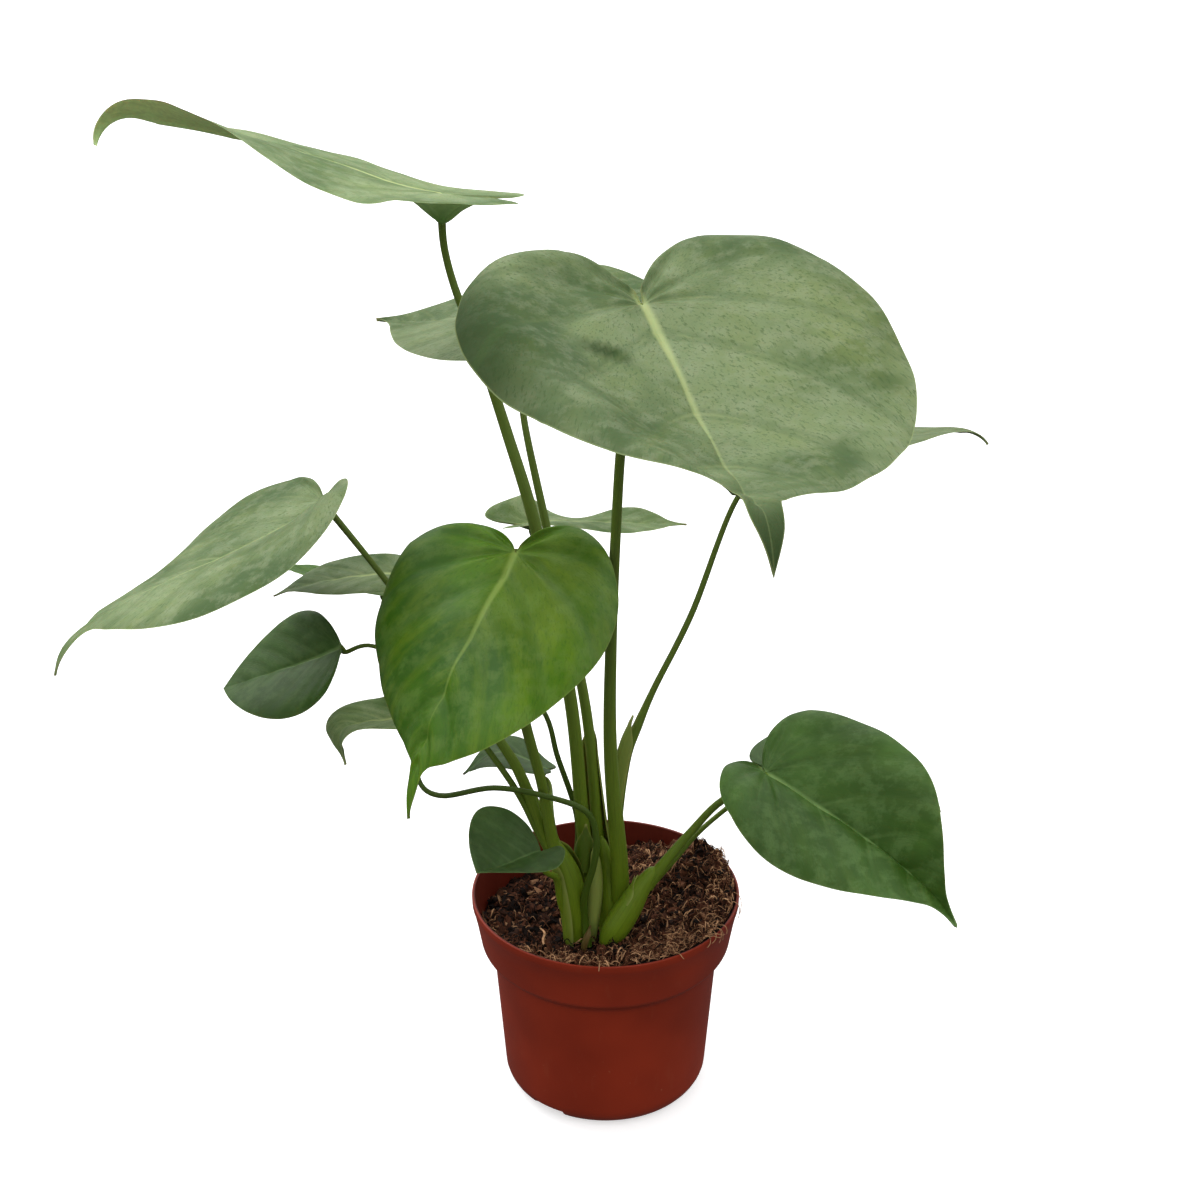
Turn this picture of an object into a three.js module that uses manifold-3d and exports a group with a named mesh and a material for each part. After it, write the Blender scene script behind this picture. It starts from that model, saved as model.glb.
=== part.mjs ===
// A young heart-leaved climbing aroid in a moulded nursery pot.
// Millimetres, +Z up. The origin is at the centre of the pot's foot, on the surface it stands on.
// The plant leans and reaches over the pot towards -Y, which is its front.

import * as THREE from "three";
import { mergeVertices } from "three/addons/utils/BufferGeometryUtils.js";
import Module from "manifold-3d";

const wasm = await Module();
wasm.setup();

// Driving dimensions of the pot

const ROUND_SEGMENTS = 48;
const GAP = 0.35;
const POT = {
  height: 98,
  rimRadius: 60,
  collarFootRadius: 56,
  collarFootHeight: 74,
  shoulderRadius: 50.6,
  shoulderHeight: 69,
  baseRadius: 46.2,
  edgeRadius: 10,
  wall: 1.4,
  footInnerRadius: 32,
  footHeight: 3,
  centrePadRadius: 12,
  floorThickness: 1.6,
};
const DRAIN_HOLES = { count: 6, ringRadius: 22, radius: 3.5 };
const EDGE_SLOT = { count: 2, width: 17, depth: 7.5, height: 6, turnDegrees: 234 };

// Driving dimensions of the potting mix: how its top lies against the pot's centre height

const SOIL = {
  level: 88,
  riseRight: 0.1,
  riseFront: 0.11,
  heap: { x: 40, y: 22, height: 9, spread: 22 },
  rimMargin: 1.2,
  rings: 7,
};

// Driving dimensions of the plant

const BLADE_THICKNESS = 0.8;
const STALK_SIDES = 9;
const STALK_STEPS = 2;

// Half of each outline: along the midrib in blade lengths, and out in half widths
const LOBE = [[0, 0], [-0.07, 0.05], [-0.155, 0.2], [-0.19, 0.43], [-0.13, 0.72], [0.03, 0.94], [0.22, 1]];
const OUTLINES = {
  heart: [...LOBE, [0.4, 0.94], [0.57, 0.79], [0.71, 0.56], [0.82, 0.3], [0.88, 0.14], [0.93, 0.065], [1, 0]],
  drip: [...LOBE, [0.4, 0.94], [0.56, 0.79], [0.68, 0.57], [0.76, 0.33], [0.805, 0.14], [0.84, 0.085],
    [0.92, 0.06], [1, 0]],
  wedge: [...LOBE, [0.42, 0.93], [0.6, 0.76], [0.74, 0.52], [0.84, 0.3], [0.92, 0.13], [1, 0]],
  ovate: [[0, 0], [-0.01, 0.12], [0, 0.3], [0.04, 0.55], [0.13, 0.82], [0.27, 0.98], [0.42, 1],
    [0.58, 0.89], [0.74, 0.67], [0.87, 0.4], [0.95, 0.17], [1, 0]],
};
const VEIN_SLANT = 0.35;

// Each blade: seat is the junction with its stalk. Heading turns from +X towards +Y, swing adds to
// it along the blade. Pitch lifts the midrib and bend turns it down by some degrees from one place to
// another. Roll lifts the left half, and fold and curl bend each half up from the midrib: left first,
// then right. Values in one list are evenly spaced stations from the junction to the tip. Degrees and
// millimetres.
const BLADES = {
  leaf_large: {
    stem: "middle", outline: "drip", seat: [13, -75, 396.6], heading: -73, swing: [0, -11],
    pitch: [-12, -12, 6, 18], bend: [0.84, 1, 82], roll: [4, -11], length: 188, width: 156,
    fold: [[14, 18, 5], [18, 22, 13]], curl: [-23, -24], lobe: [0.92, 1], bias: 1.03, neck: 9,
    rows: 28, columns: 4, colour: 0x78905c,
  },
  leaf_front: {
    stem: "left", outline: "drip", seat: [-35, -63, 293], heading: -110, swing: [0, -27],
    pitch: [-28, -32, -56, -66], bend: [0.84, 1, 20], roll: [-7, 1, 15], length: 116, width: 99,
    fold: [[0, 8], [0, -1]], curl: [-36, -27], lobe: [0.9, 0.5], bias: 0.97, neck: 8,
    rows: 28, columns: 4, colour: 0x557a26,
  },
  leaf_top: {
    stem: "middle", outline: "wedge", seat: [-64, 10, 413.8], heading: 162, swing: [0, 26],
    pitch: [1, 16, 10, 36], bend: [0.84, 1, 110], roll: [9, 7, 20, 40], length: 147, width: 111,
    fold: [[6, 6, 11], [-1, 3, 48]], curl: [-7, -11], lobe: [1.4, 0.9], bias: 1, neck: 9,
    rows: 24, columns: 4, colour: 0x8a9c74,
  },
  leaf_back_left: {
    stem: "middle", outline: "heart", seat: [-9, 70, 346], heading: 165, swing: [0, -17],
    pitch: [1, -12, -14, 5], bend: [0.84, 1, 10], roll: [-4, -6], length: 105, width: 106,
    fold: [[9, 6], [7, 5]], curl: [-19, -11], lobe: [1.2, 1.2], bias: 1, neck: 7,
    rows: 13, columns: 3, colour: 0x84987a,
  },
  leaf_back_right: {
    stem: "middle", outline: "heart", seat: [71, 25, 299], heading: 8, swing: [0, -7],
    pitch: [8, 5, 6, -9], bend: [0.84, 1, 46], roll: [-7, -9], length: 93, width: 63,
    fold: [[4, -2], [7, 10]], curl: [-14, -12], lobe: [1, 1], bias: 1, neck: 6,
    rows: 13, columns: 3, colour: 0x84997a,
  },
  leaf_back_middle: {
    stem: "middle", outline: "heart", seat: [-33, 55, 253], heading: 6, swing: [0, -5],
    pitch: [6, -3, -3, -1], bend: [0.84, 1, 0], roll: [-16, -3], length: 69, width: 44,
    fold: [[41, -3, 18, 8], [9, 2]], curl: [-12, -8], lobe: [1.5, 1], bias: 1, neck: 5,
    rows: 20, columns: 3, colour: 0x7b8c6c,
  },
  leaf_left: {
    stem: "left", outline: "drip", seat: [-113.8, -20, 296.2], heading: 211, swing: [0, -7],
    pitch: [-30, -13, -20, -47], bend: [0.84, 1, 30], roll: [1, 14, 1], length: 130, width: 114,
    fold: [[39, 14, 2, 15], [-2, 8, -7, 16]], curl: [-30, -24], lobe: [0.4, 0.2], bias: 1, neck: 7,
    rows: 28, columns: 4, colour: 0x7d9164,
  },
  leaf_left_pale: {
    stem: "left", outline: "heart", seat: [-89, 12, 249], heading: 188, swing: [0],
    pitch: [0, -4, -10, -14], bend: [0.84, 1, 10], roll: [-2], length: 53, width: 37,
    fold: [[10], [6]], curl: [-10, -10], lobe: [1, 1], bias: 1, neck: 4,
    rows: 13, columns: 3, colour: 0x8a9f72,
  },
  leaf_left_rear: {
    stem: "left", outline: "heart", seat: [-96, 40, 227], heading: 174, swing: [0],
    pitch: [12, 12, 10, 8], bend: [0.84, 1, 0], roll: [16], length: 54, width: 40,
    fold: [[8], [8]], curl: [-10, -10], lobe: [1, 1], bias: 1, neck: 4,
    rows: 13, columns: 3, colour: 0x577a30,
  },
  leaf_left_round: {
    stem: "left", outline: "ovate", seat: [-111.5, -10, 225], heading: 173, swing: [0, -7],
    pitch: [-32, -24, -24, -23], bend: [0.84, 1, 0], roll: [-28, -20], length: 59, width: 53,
    fold: [[15, 10], [22, 11]], curl: [-25, -9], lobe: [1, 1], bias: 1.07, neck: 4,
    rows: 22, columns: 3, colour: 0x456030,
  },
  leaf_left_low: {
    stem: "left", outline: "heart", seat: [-83, -8, 193], heading: 204, swing: [0, 14],
    pitch: [-30, 10, -10, -15], bend: [0.6, 0.72, 80], roll: [-2, 1, 6], length: 50, width: 29,
    fold: [[24], [25]], curl: [-18, -18], lobe: [1, 1], bias: 1, neck: 4,
    rows: 20, columns: 3, colour: 0x6c8050,
  },
  leaf_centre_small: {
    stem: "left", outline: "heart", seat: [-27, 25, 146], heading: 167, swing: [0, -9],
    pitch: [14, 10, -40, -36], bend: [0.84, 1, 0], roll: [21, -22], length: 47, width: 39,
    fold: [[9], [3]], curl: [-12, -12], lobe: [0.4, 0.4], bias: 1, neck: 4,
    rows: 13, columns: 3, colour: 0x47602e,
  },
  leaf_over_rim: {
    stem: "left", outline: "ovate", seat: [-27, -50, 149], heading: 222, swing: [0, 27],
    pitch: [17, 10, 22, 23], bend: [0.84, 1, 0], roll: [2, -15], length: 46, width: 52,
    fold: [[40, 22], [46, 29]], curl: [-19, -2], lobe: [0.6, 0.6], bias: 1, neck: 4,
    rows: 22, columns: 3, colour: 0x3f5a2c,
  },
  leaf_right: {
    stem: "right", outline: "heart", seat: [68, -20, 170.6], heading: -25, swing: [0, -38],
    pitch: [-25, -15, -12, -15], bend: [0.84, 1, 15], roll: [4, 35], length: 109, width: 90,
    fold: [[27, 48], [24, 40]], curl: [-25, -41], lobe: [0.4, 0.7], bias: 1, neck: 6,
    rows: 26, columns: 4, colour: 0x446038,
  },
  leaf_right_rear: {
    stem: "right", outline: "heart", seat: [71, 12, 155], heading: -6, swing: [0, -12],
    pitch: [19, 0, -12, -70], bend: [0.84, 1, 0], roll: [2, 7], length: 84, width: 55,
    fold: [[11, 17], [14]], curl: [-23, -20], lobe: [0.5, 0.6], bias: 1, neck: 5,
    rows: 13, columns: 3, colour: 0x4d6a3e,
  },
};

// Each leafy stem: the crown stands upright in the mix, then leans into the sheaths. A crown or
// stalk point is x, y, z and the radius there. A stalk ends under its blade's seat.
const STEMS = {
  left: {
    crown: [[-13, -27, 68, 4.3], [-13, -27, 92, 4.3], [-14, -28, 109, 5.6], [-16, -28, 122, 5.8],
      [-19, -28, 132, 4.4], [-23, -28, 141, 2.2]],
    stalks: {
      leaf_front: [[-14, -27, 98, 3.2], [-17, -28, 123, 3], [-23, -29, 143, 2.5],
        [-27, -32, 172, 2.2], [-33, -40, 205, 2.2], [-36, -52, 234, 1.9], [-35, -66, 263, 1.7]],
      leaf_left: [[-14, -26, 98, 3], [-18, -27, 124, 3], [-26, -27, 141, 2.6], [-35, -25, 169, 2.4],
        [-44, -24, 187, 2.1], [-67, -22, 224, 1.7], [-89, -21, 260, 1.3]],
      leaf_left_pale: [[-13, -24, 96, 2], [-20, -20, 132, 1.6], [-37, -14, 167, 1.4],
        [-54, -6, 195, 1.2], [-71, 5, 230, 1]],
      leaf_left_rear: [[-13, -24, 101, 2], [-13, -13, 119, 1.5], [-12, -8, 134, 1.4],
        [-14, -6, 147, 1.3], [-21, -2, 168, 1.2], [-27, 4, 187, 1.1], [-46, 16, 206, 1.1],
        [-73, 28, 210, 1]],
      leaf_left_round: [[-16, -28, 101, 1.6], [-20, -28, 127, 1.6], [-28, -28, 143, 1.5],
        [-37, -26, 163, 1.4], [-51, -23, 185, 1.3], [-73, -18, 215, 1.1], [-97, -11, 226, 0.9]],
      leaf_left_low: [[-9, -31, 102, 1.7], [-9, -34, 117, 1.6], [-5, -37, 135, 1.5],
        [-4, -37, 148, 1.4], [-8, -37, 161, 1.3], [-24, -38, 169, 1.2], [-47, -34, 171, 1.2],
        [-71, -22, 160, 1.2], [-81, -14, 165, 1.1]],
      leaf_centre_small: [[-14, -24, 97, 1.5], [-23, -4, 133, 1.2], [-25, 18, 141, 1]],
      leaf_over_rim: [[-15, -28, 98, 1.8], [-19, -31, 111, 1.8], [-21, -36, 127, 1.5],
        [-25, -48, 138, 1.2]],
    },
  },
  middle: {
    crown: [[3, -19, 68, 5.8], [3, -19, 96, 5.8], [2, -17, 113, 4.6], [-1, -15, 130, 2.4]],
    stalks: {
      leaf_large: [[6, -20, 95, 4.2], [6, -23, 126, 3.8], [2, -30, 185, 2.9], [2, -38, 238, 2.4],
        [4, -56, 304, 2], [6, -66, 343, 1.9], [10, -73, 374, 1.8]],
      leaf_top: [[-1, -17, 93, 3.6], [-7, -15, 115, 3.3], [-10, -13, 140, 3], [-15, -7, 198, 2.8],
        [-28, 1, 270, 2.6], [-41, 8, 316, 2.3], [-52, 10, 352, 1.9], [-60, 11, 374, 1.6],
        [-64, 11, 391, 1.5]],
      leaf_back_left: [[2, -17, 93, 3], [-3, -9, 132, 2.4], [-9, 4, 192, 2.1], [-25, 21, 266, 1.7],
        [-35, 34, 314, 1.4], [-33, 48, 325, 1.2], [-26, 60, 325, 1.2]],
      leaf_back_right: [[5, -15, 95, 2.8], [5, -8, 134, 2.2], [8, -1, 165, 2.8], [14, 3, 181, 2.1],
        [21, 7, 197, 1.5], [37, 14, 230, 1.4], [55, 22, 279, 1.2]],
      leaf_back_middle: [[0, -15, 95, 2], [-5, 2, 143, 1.6], [-10, 12, 193, 1.4],
        [-24, 48, 238, 1]],
    },
  },
  right: {
    crown: [[2, -32, 68, 4.8], [2, -32, 90, 4.6], [2, -32, 94, 4.9], [5, -32, 100, 5.9],
      [10, -31, 109, 5.8], [15, -30, 118, 4.4], [20, -29, 126, 2.6]],
    stalks: {
      leaf_right: [[18, -29, 119, 3], [26, -28, 131, 2.3], [36, -25, 143, 1.8], [49, -22, 157, 1.6]],
      leaf_right_rear: [[20, -26, 119, 2.2], [31, -20, 129, 1.7], [40, -12, 135, 1.2],
        [52, -1, 140, 1.1]],
    },
  },
};

// Solids

/** Positions and triangles as a closed manifold, with doubled corners merged. */
function toSolid(geometry) {
  const bare = geometry.clone();
  bare.deleteAttribute("normal");
  bare.deleteAttribute("uv");
  const merged = mergeVertices(bare, 1e-4);
  const index = Array.from(merged.index.array);
  const kept = [];
  for (let i = 0; i < index.length; i += 3) {
    const [a, b, c] = index.slice(i, i + 3);
    if (a !== b && b !== c && c !== a) {
      kept.push(a, b, c);
    }
  }
  return new wasm.Manifold(new wasm.Mesh({
    numProp: 3,
    vertProperties: new Float32Array(merged.attributes.position.array),
    triVerts: new Uint32Array(kept),
  }));
}

/** A manifold's mesh as a geometry. */
function toGeometry(solid) {
  const { vertProperties, triVerts } = solid.getMesh();
  return surfaceGeometry(vertProperties, triVerts);
}

/** A geometry from corner positions and triangle indices. */
function surfaceGeometry(positions, triangles) {
  const geometry = new THREE.BufferGeometry();
  geometry.setAttribute("position", new THREE.Float32BufferAttribute(positions, 3));
  geometry.setIndex(Array.from(triangles));
  geometry.computeVertexNormals();
  return geometry;
}

/** A closed profile of radius and height turned round +Z. */
function turned(profile) {
  const points = profile.map(([radius, height]) => new THREE.Vector2(radius, height));
  return new THREE.LatheGeometry(points, ROUND_SEGMENTS).rotateX(Math.PI / 2);
}

/** A smooth curve through points, with straight run-outs at its ends. */
function smooth(points) {
  const vectors = points.map(([x, y, z = 0]) => new THREE.Vector3(x, y, z));
  return new THREE.CatmullRomCurve3(vectors, false, "catmullrom", 0.5);
}

/** A round stalk through points of x, y, z and radius, closed at both ends. */
function stalk(points) {
  const path = smooth(points);
  const spans = points.length - 1;
  const count = spans * STALK_STEPS;
  const positions = [];
  const across = new THREE.Vector3(1, 0, 0);
  for (let i = 0; i <= count; i++) {
    const along = i / count;
    const at = Math.min(Math.floor(along * spans), spans - 1);
    const part = along * spans - at;
    const radius = points[at][3] * (1 - part) + points[at + 1][3] * part;
    const centre = path.getPoint(along);
    const ahead = path.getTangent(along);
    across.addScaledVector(ahead, -across.dot(ahead)).normalize();
    const up = new THREE.Vector3().crossVectors(ahead, across);
    for (let k = 0; k < STALK_SIDES; k++) {
      const turn = (k / STALK_SIDES) * 2 * Math.PI;
      const corner = centre.clone()
        .addScaledVector(across, radius * Math.cos(turn))
        .addScaledVector(up, radius * Math.sin(turn));
      positions.push(...corner);
    }
  }
  const triangles = [];
  for (let i = 0; i < count; i++) {
    for (let k = 0; k < STALK_SIDES; k++) {
      const a = i * STALK_SIDES + k;
      const b = i * STALK_SIDES + (k + 1) % STALK_SIDES;
      triangles.push(a, b, b + STALK_SIDES, a, b + STALK_SIDES, a + STALK_SIDES);
    }
  }
  for (let k = 1; k < STALK_SIDES - 1; k++) {
    const last = count * STALK_SIDES;
    triangles.push(0, k + 1, k, last, last + k, last + k + 1);
  }
  return surfaceGeometry(positions, triangles);
}

// Blades

/** Reads evenly spaced station values at a place from 0 to 1, on the curve through them all. */
function atStation(values, place) {
  const x = place * (values.length - 1);
  return values.reduce((sum, value, i) => {
    let weight = 1;
    for (let j = 0; j < values.length; j++) {
      weight *= j === i ? 1 : (x - j) / (i - j);
    }
    return sum + value * weight;
  }, 0);
}

/** The midrib's centre line and its directions, from the junction at 0 to the tip at 1. */
function midribFrames(blade) {
  const steps = 60;
  const frames = [];
  const centre = new THREE.Vector3();
  for (let i = 0; i <= steps; i++) {
    const place = i / steps;
    const [from, to, degrees] = blade.bend;
    const bent = degrees * THREE.MathUtils.clamp((place - from) / (to - from), 0, 1);
    const heading = THREE.MathUtils.degToRad(blade.heading + atStation(blade.swing, place));
    const pitch = THREE.MathUtils.degToRad(atStation(blade.pitch, place) - bent);
    const roll = THREE.MathUtils.degToRad(atStation(blade.roll, place));
    const ahead = new THREE.Vector3(
      Math.cos(pitch) * Math.cos(heading),
      Math.cos(pitch) * Math.sin(heading),
      Math.sin(pitch),
    );
    const level = new THREE.Vector3(-Math.sin(heading), Math.cos(heading), 0);
    const left = level.clone().applyAxisAngle(ahead, roll);
    const up = new THREE.Vector3().crossVectors(ahead, left);
    if (i > 0) {
      const step = frames[i - 1].ahead.clone().add(ahead).multiplyScalar(blade.length / steps / 2);
      centre.add(step);
    }
    frames.push({ centre: centre.clone(), ahead, left, up });
  }
  return frames;
}

/** The midrib frame at a place between the stored ones. */
function frameAt(frames, place) {
  const x = Math.min(Math.max(place, 0), 1) * (frames.length - 1);
  const i = Math.min(Math.floor(x), frames.length - 2);
  const mix = (name) => frames[i][name].clone().lerp(frames[i + 1][name], x - i);
  return { centre: mix("centre"), ahead: mix("ahead"), left: mix("left"), up: mix("up") };
}

/** A point of the blade's middle surface and its normal: side is 1 on the left half, else -1. */
function bladePoint(blade, frames, side, along, out) {
  const place = Math.min(Math.max(along, 0), 1);
  const frame = frameAt(frames, place);
  const half = side > 0 ? 0 : 1;
  const fold = THREE.MathUtils.degToRad(atStation(blade.fold[half], place));
  const curl = THREE.MathUtils.degToRad(blade.curl[half] || 0.01);
  const slope = fold + curl * out;
  const reach = (Math.sin(slope) - Math.sin(fold)) / curl * blade.width / 2;
  const lift = (Math.cos(fold) - Math.cos(slope)) / curl * blade.width / 2;
  const point = frame.centre
    .addScaledVector(frame.ahead, Math.min(along, 0) * blade.length)
    .addScaledVector(frame.left, side * reach)
    .addScaledVector(frame.up, lift);
  const tilt = out > 1e-6 ? slope : 0;
  const normal = frame.up.clone().multiplyScalar(Math.cos(tilt))
    .addScaledVector(frame.left, -side * Math.sin(tilt));
  return { point, normal };
}

/** A closed thin blade about its own seat, its faces split alike on both sides. */
function bladeGeometry(blade) {
  const frames = midribFrames(blade);
  const margin = smooth(OUTLINES[blade.outline]);
  const positions = [];
  const triangles = [];
  const corners = new Map();

  const corner = (face, side, row, column) => {
    const { x: away, y: wide } = margin.getPoint(row / blade.rows);
    const half = side > 0 ? 0 : 1;
    const onMidrib = row === blade.rows ? 1 : Math.max(0, away - VEIN_SLANT * wide);
    const outer = away < 0 ? away * blade.lobe[half] : away;
    const part = column / blade.columns;
    const along = onMidrib + (outer - onMidrib) * part;
    const out = wide * part * (side > 0 ? blade.bias : 2 - blade.bias);
    const { point, normal } = bladePoint(blade, frames, side, along, out);
    point.addScaledVector(normal, face * BLADE_THICKNESS / 2);
    const key = [face, ...point.toArray().map((value) => Math.round(value * 1e4))].join();
    if (!corners.has(key)) {
      corners.set(key, corners.size);
      positions.push(...point);
    }
    return corners.get(key);
  };
  const triangle = (a, b, c, flip) => {
    if (a !== b && b !== c && c !== a) {
      triangles.push(a, flip ? c : b, flip ? b : c);
    }
  };
  const quad = (a, b, c, d, flip) => {
    triangle(a, b, c, flip);
    triangle(a, c, d, flip);
  };

  for (const side of [1, -1]) {
    for (let row = 0; row < blade.rows; row++) {
      for (let column = 0; column < blade.columns; column++) {
        for (const face of [1, -1]) {
          quad(
            corner(face, side, row, column),
            corner(face, side, row + 1, column),
            corner(face, side, row + 1, column + 1),
            corner(face, side, row, column + 1),
            face * side < 0,
          );
        }
      }
      const edge = blade.columns;
      quad(
        corner(1, side, row, edge),
        corner(1, side, row + 1, edge),
        corner(-1, side, row + 1, edge),
        corner(-1, side, row, edge),
        side < 0,
      );
    }
  }
  return surfaceGeometry(positions, triangles);
}

/** The stalk of one blade: its route, then a short neck that meets the blade's back squarely. */
function stalkTo(blade, route) {
  const { up } = midribFrames(blade)[0];
  const seat = new THREE.Vector3(...blade.seat);
  const endRadius = route[route.length - 1][3];
  const neck = seat.clone().addScaledVector(up, -blade.neck);
  const end = seat.clone().addScaledVector(up, -(BLADE_THICKNESS / 2 + GAP));
  return stalk([...route, [...neck, endRadius], [...end, endRadius * 1.15]]);
}

/** A leafy stem: the crown and every stalk that grows from it, as one body. */
function stemSolid(stem) {
  let solid = toSolid(stalk(stem.crown));
  for (const [name, route] of Object.entries(stem.stalks)) {
    solid = solid.add(toSolid(stalkTo(BLADES[name], route)));
  }
  return solid;
}

// Pot and potting mix

/** Outer radius of the pot's wall at a height, with the wall's inner face a wall inside it. */
function wallProfile(inset) {
  const edge = [];
  for (let i = 0; i <= 4; i++) {
    const turn = (i / 4) * Math.PI / 2;
    edge.push([
      POT.baseRadius - POT.edgeRadius + (POT.edgeRadius - inset) * Math.sin(turn),
      POT.edgeRadius - (POT.edgeRadius - inset) * Math.cos(turn),
    ]);
  }
  return [
    ...edge,
    [POT.shoulderRadius - inset, POT.shoulderHeight + inset / 2],
    [POT.collarFootRadius - inset, POT.collarFootHeight + inset / 2],
    [POT.rimRadius - inset, POT.height],
  ];
}

/** The radius inside the pot at a height above its rounded edge. */
function innerRadius(height) {
  const profile = wallProfile(POT.wall).slice(4);
  const next = Math.max(1, profile.findIndex(([, level]) => level >= height));
  const [lowRadius, low] = profile[next - 1];
  const [highRadius, high] = profile[next];
  return lowRadius + (highRadius - lowRadius) * (height - low) / (high - low);
}

/** The pot: a turned shell on a foot ring, with drain holes in its floor and slots at its edge. */
function potGeometry() {
  const floorTop = POT.footHeight + POT.floorThickness;
  const outside = wallProfile(0);
  const inside = wallProfile(POT.wall).filter(([, height]) => height > floorTop);
  const floorEdge = POT.baseRadius - POT.edgeRadius + 2;
  const profile = [
    [0, 0],
    [POT.centrePadRadius, 0],
    [POT.centrePadRadius + 2, POT.footHeight],
    [POT.footInnerRadius, POT.footHeight],
    [POT.footInnerRadius, 0],
    ...outside,
    ...inside.reverse(),
    [floorEdge, floorTop],
    [POT.centrePadRadius + 1, floorTop],
    [POT.centrePadRadius - 1, POT.floorThickness],
    [0, POT.floorThickness],
  ];
  let solid = toSolid(turned(profile));
  for (let i = 0; i < DRAIN_HOLES.count; i++) {
    const turn = (i / DRAIN_HOLES.count) * 2 * Math.PI;
    const hole = new THREE.CylinderGeometry(DRAIN_HOLES.radius, DRAIN_HOLES.radius, 20, 12)
      .rotateX(Math.PI / 2)
      .translate(DRAIN_HOLES.ringRadius * Math.cos(turn), DRAIN_HOLES.ringRadius * Math.sin(turn), 4);
    solid = solid.subtract(toSolid(hole));
  }
  for (let i = 0; i < EDGE_SLOT.count; i++) {
    const turn = THREE.MathUtils.degToRad(EDGE_SLOT.turnDegrees + (i * 360) / EDGE_SLOT.count);
    const slot = new THREE.BoxGeometry(30, EDGE_SLOT.width, 2 * EDGE_SLOT.height)
      .translate(POT.baseRadius - EDGE_SLOT.depth + 15, 0, 0)
      .rotateZ(turn);
    solid = solid.subtract(toSolid(slot));
  }
  return toGeometry(solid);
}

/** Height of the potting mix's top at a place: it rises to the front and heaps up at the right. */
function soilTop(x, y) {
  const { heap } = SOIL;
  const far = (x - heap.x) ** 2 + (y - heap.y) ** 2;
  const lumps = 0.7 * Math.sin(0.33 * x + 1) * Math.cos(0.29 * y) + 0.5 * Math.sin(0.5 * y + 0.21 * x);
  return SOIL.level + SOIL.riseRight * x - SOIL.riseFront * y
    + heap.height * Math.exp(-far / (2 * heap.spread ** 2)) + lumps;
}

/** The potting mix: it fills the pot to its uneven top and stays just off the pot's wall. */
function soilGeometry() {
  const floor = POT.footHeight + POT.floorThickness + GAP;
  const positions = [0, 0, floor];
  const columns = [];
  for (let i = 0; i < ROUND_SEGMENTS; i++) {
    const turn = (i / ROUND_SEGMENTS) * 2 * Math.PI;
    const wallX = (POT.rimRadius - 3) * Math.cos(turn);
    const wallY = (POT.rimRadius - 3) * Math.sin(turn);
    const top = Math.min(soilTop(wallX, wallY), POT.height - SOIL.rimMargin);
    const topRadius = innerRadius(top) - GAP;
    const side = wallProfile(POT.wall)
      .filter(([, height]) => height > floor && height < POT.height)
      .map(([radius, height]) => [radius - GAP, height]);
    const column = [[POT.baseRadius - POT.edgeRadius, floor], ...side, [topRadius, top]];
    for (let ring = SOIL.rings - 1; ring > 0; ring--) {
      const radius = topRadius * ring / SOIL.rings;
      column.push([radius, soilTop(radius * Math.cos(turn), radius * Math.sin(turn))]);
    }
    columns.push(column.length);
    for (const [radius, height] of column) {
      positions.push(radius * Math.cos(turn), radius * Math.sin(turn), height);
    }
  }
  const depth = columns[0];
  const centre = positions.length / 3;
  positions.push(0, 0, soilTop(0, 0));
  const triangles = [];
  for (let i = 0; i < ROUND_SEGMENTS; i++) {
    const here = 1 + i * depth;
    const next = 1 + ((i + 1) % ROUND_SEGMENTS) * depth;
    triangles.push(0, next, here);
    for (let k = 0; k < depth - 1; k++) {
      triangles.push(here + k, next + k, next + k + 1, here + k, next + k + 1, here + k + 1);
    }
    triangles.push(here + depth - 1, next + depth - 1, centre);
  }
  let solid = toSolid(surfaceGeometry(positions, triangles));
  for (const { crown } of Object.values(STEMS)) {
    const [x, y, foot, radius] = crown[0];
    const hole = new THREE.CylinderGeometry(radius + GAP, radius + GAP, 60, 16)
      .rotateX(Math.PI / 2)
      .translate(x, y, foot - GAP + 30);
    solid = solid.subtract(toSolid(hole));
  }
  return toGeometry(solid);
}

// The assembly

const plant = new THREE.Group();

/** Adds one named piece to the plant. */
function addPiece(name, geometry, colour, roughness, place = [0, 0, 0]) {
  const material = new THREE.MeshStandardMaterial({ color: colour, roughness, metalness: 0 });
  const mesh = new THREE.Mesh(geometry, material);
  mesh.name = name;
  mesh.position.set(...place);
  plant.add(mesh);
}

addPiece("pot", potGeometry(), 0x7a2e1a, 0.5);
addPiece("soil", soilGeometry(), 0x2c1b13, 0.95);
for (const [name, stem] of Object.entries(STEMS)) {
  addPiece(`stem_${name}`, toGeometry(stemSolid(stem)), 0x4a661e, 0.55);
}
for (const [name, blade] of Object.entries(BLADES)) {
  addPiece(name, bladeGeometry(blade), blade.colour, 0.5, blade.seat);
}

export default plant;
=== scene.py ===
"""A young heart-leaved climbing aroid in a moulded nursery pot, dressed for close views.

Lengths are in metres and +Z is up. The origin is the centre of the pot's foot, and the plant
leans over the pot towards -Y, which is its front.
"""

import logging
import math
from dataclasses import dataclass, field
from enum import Enum
from itertools import combinations

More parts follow.
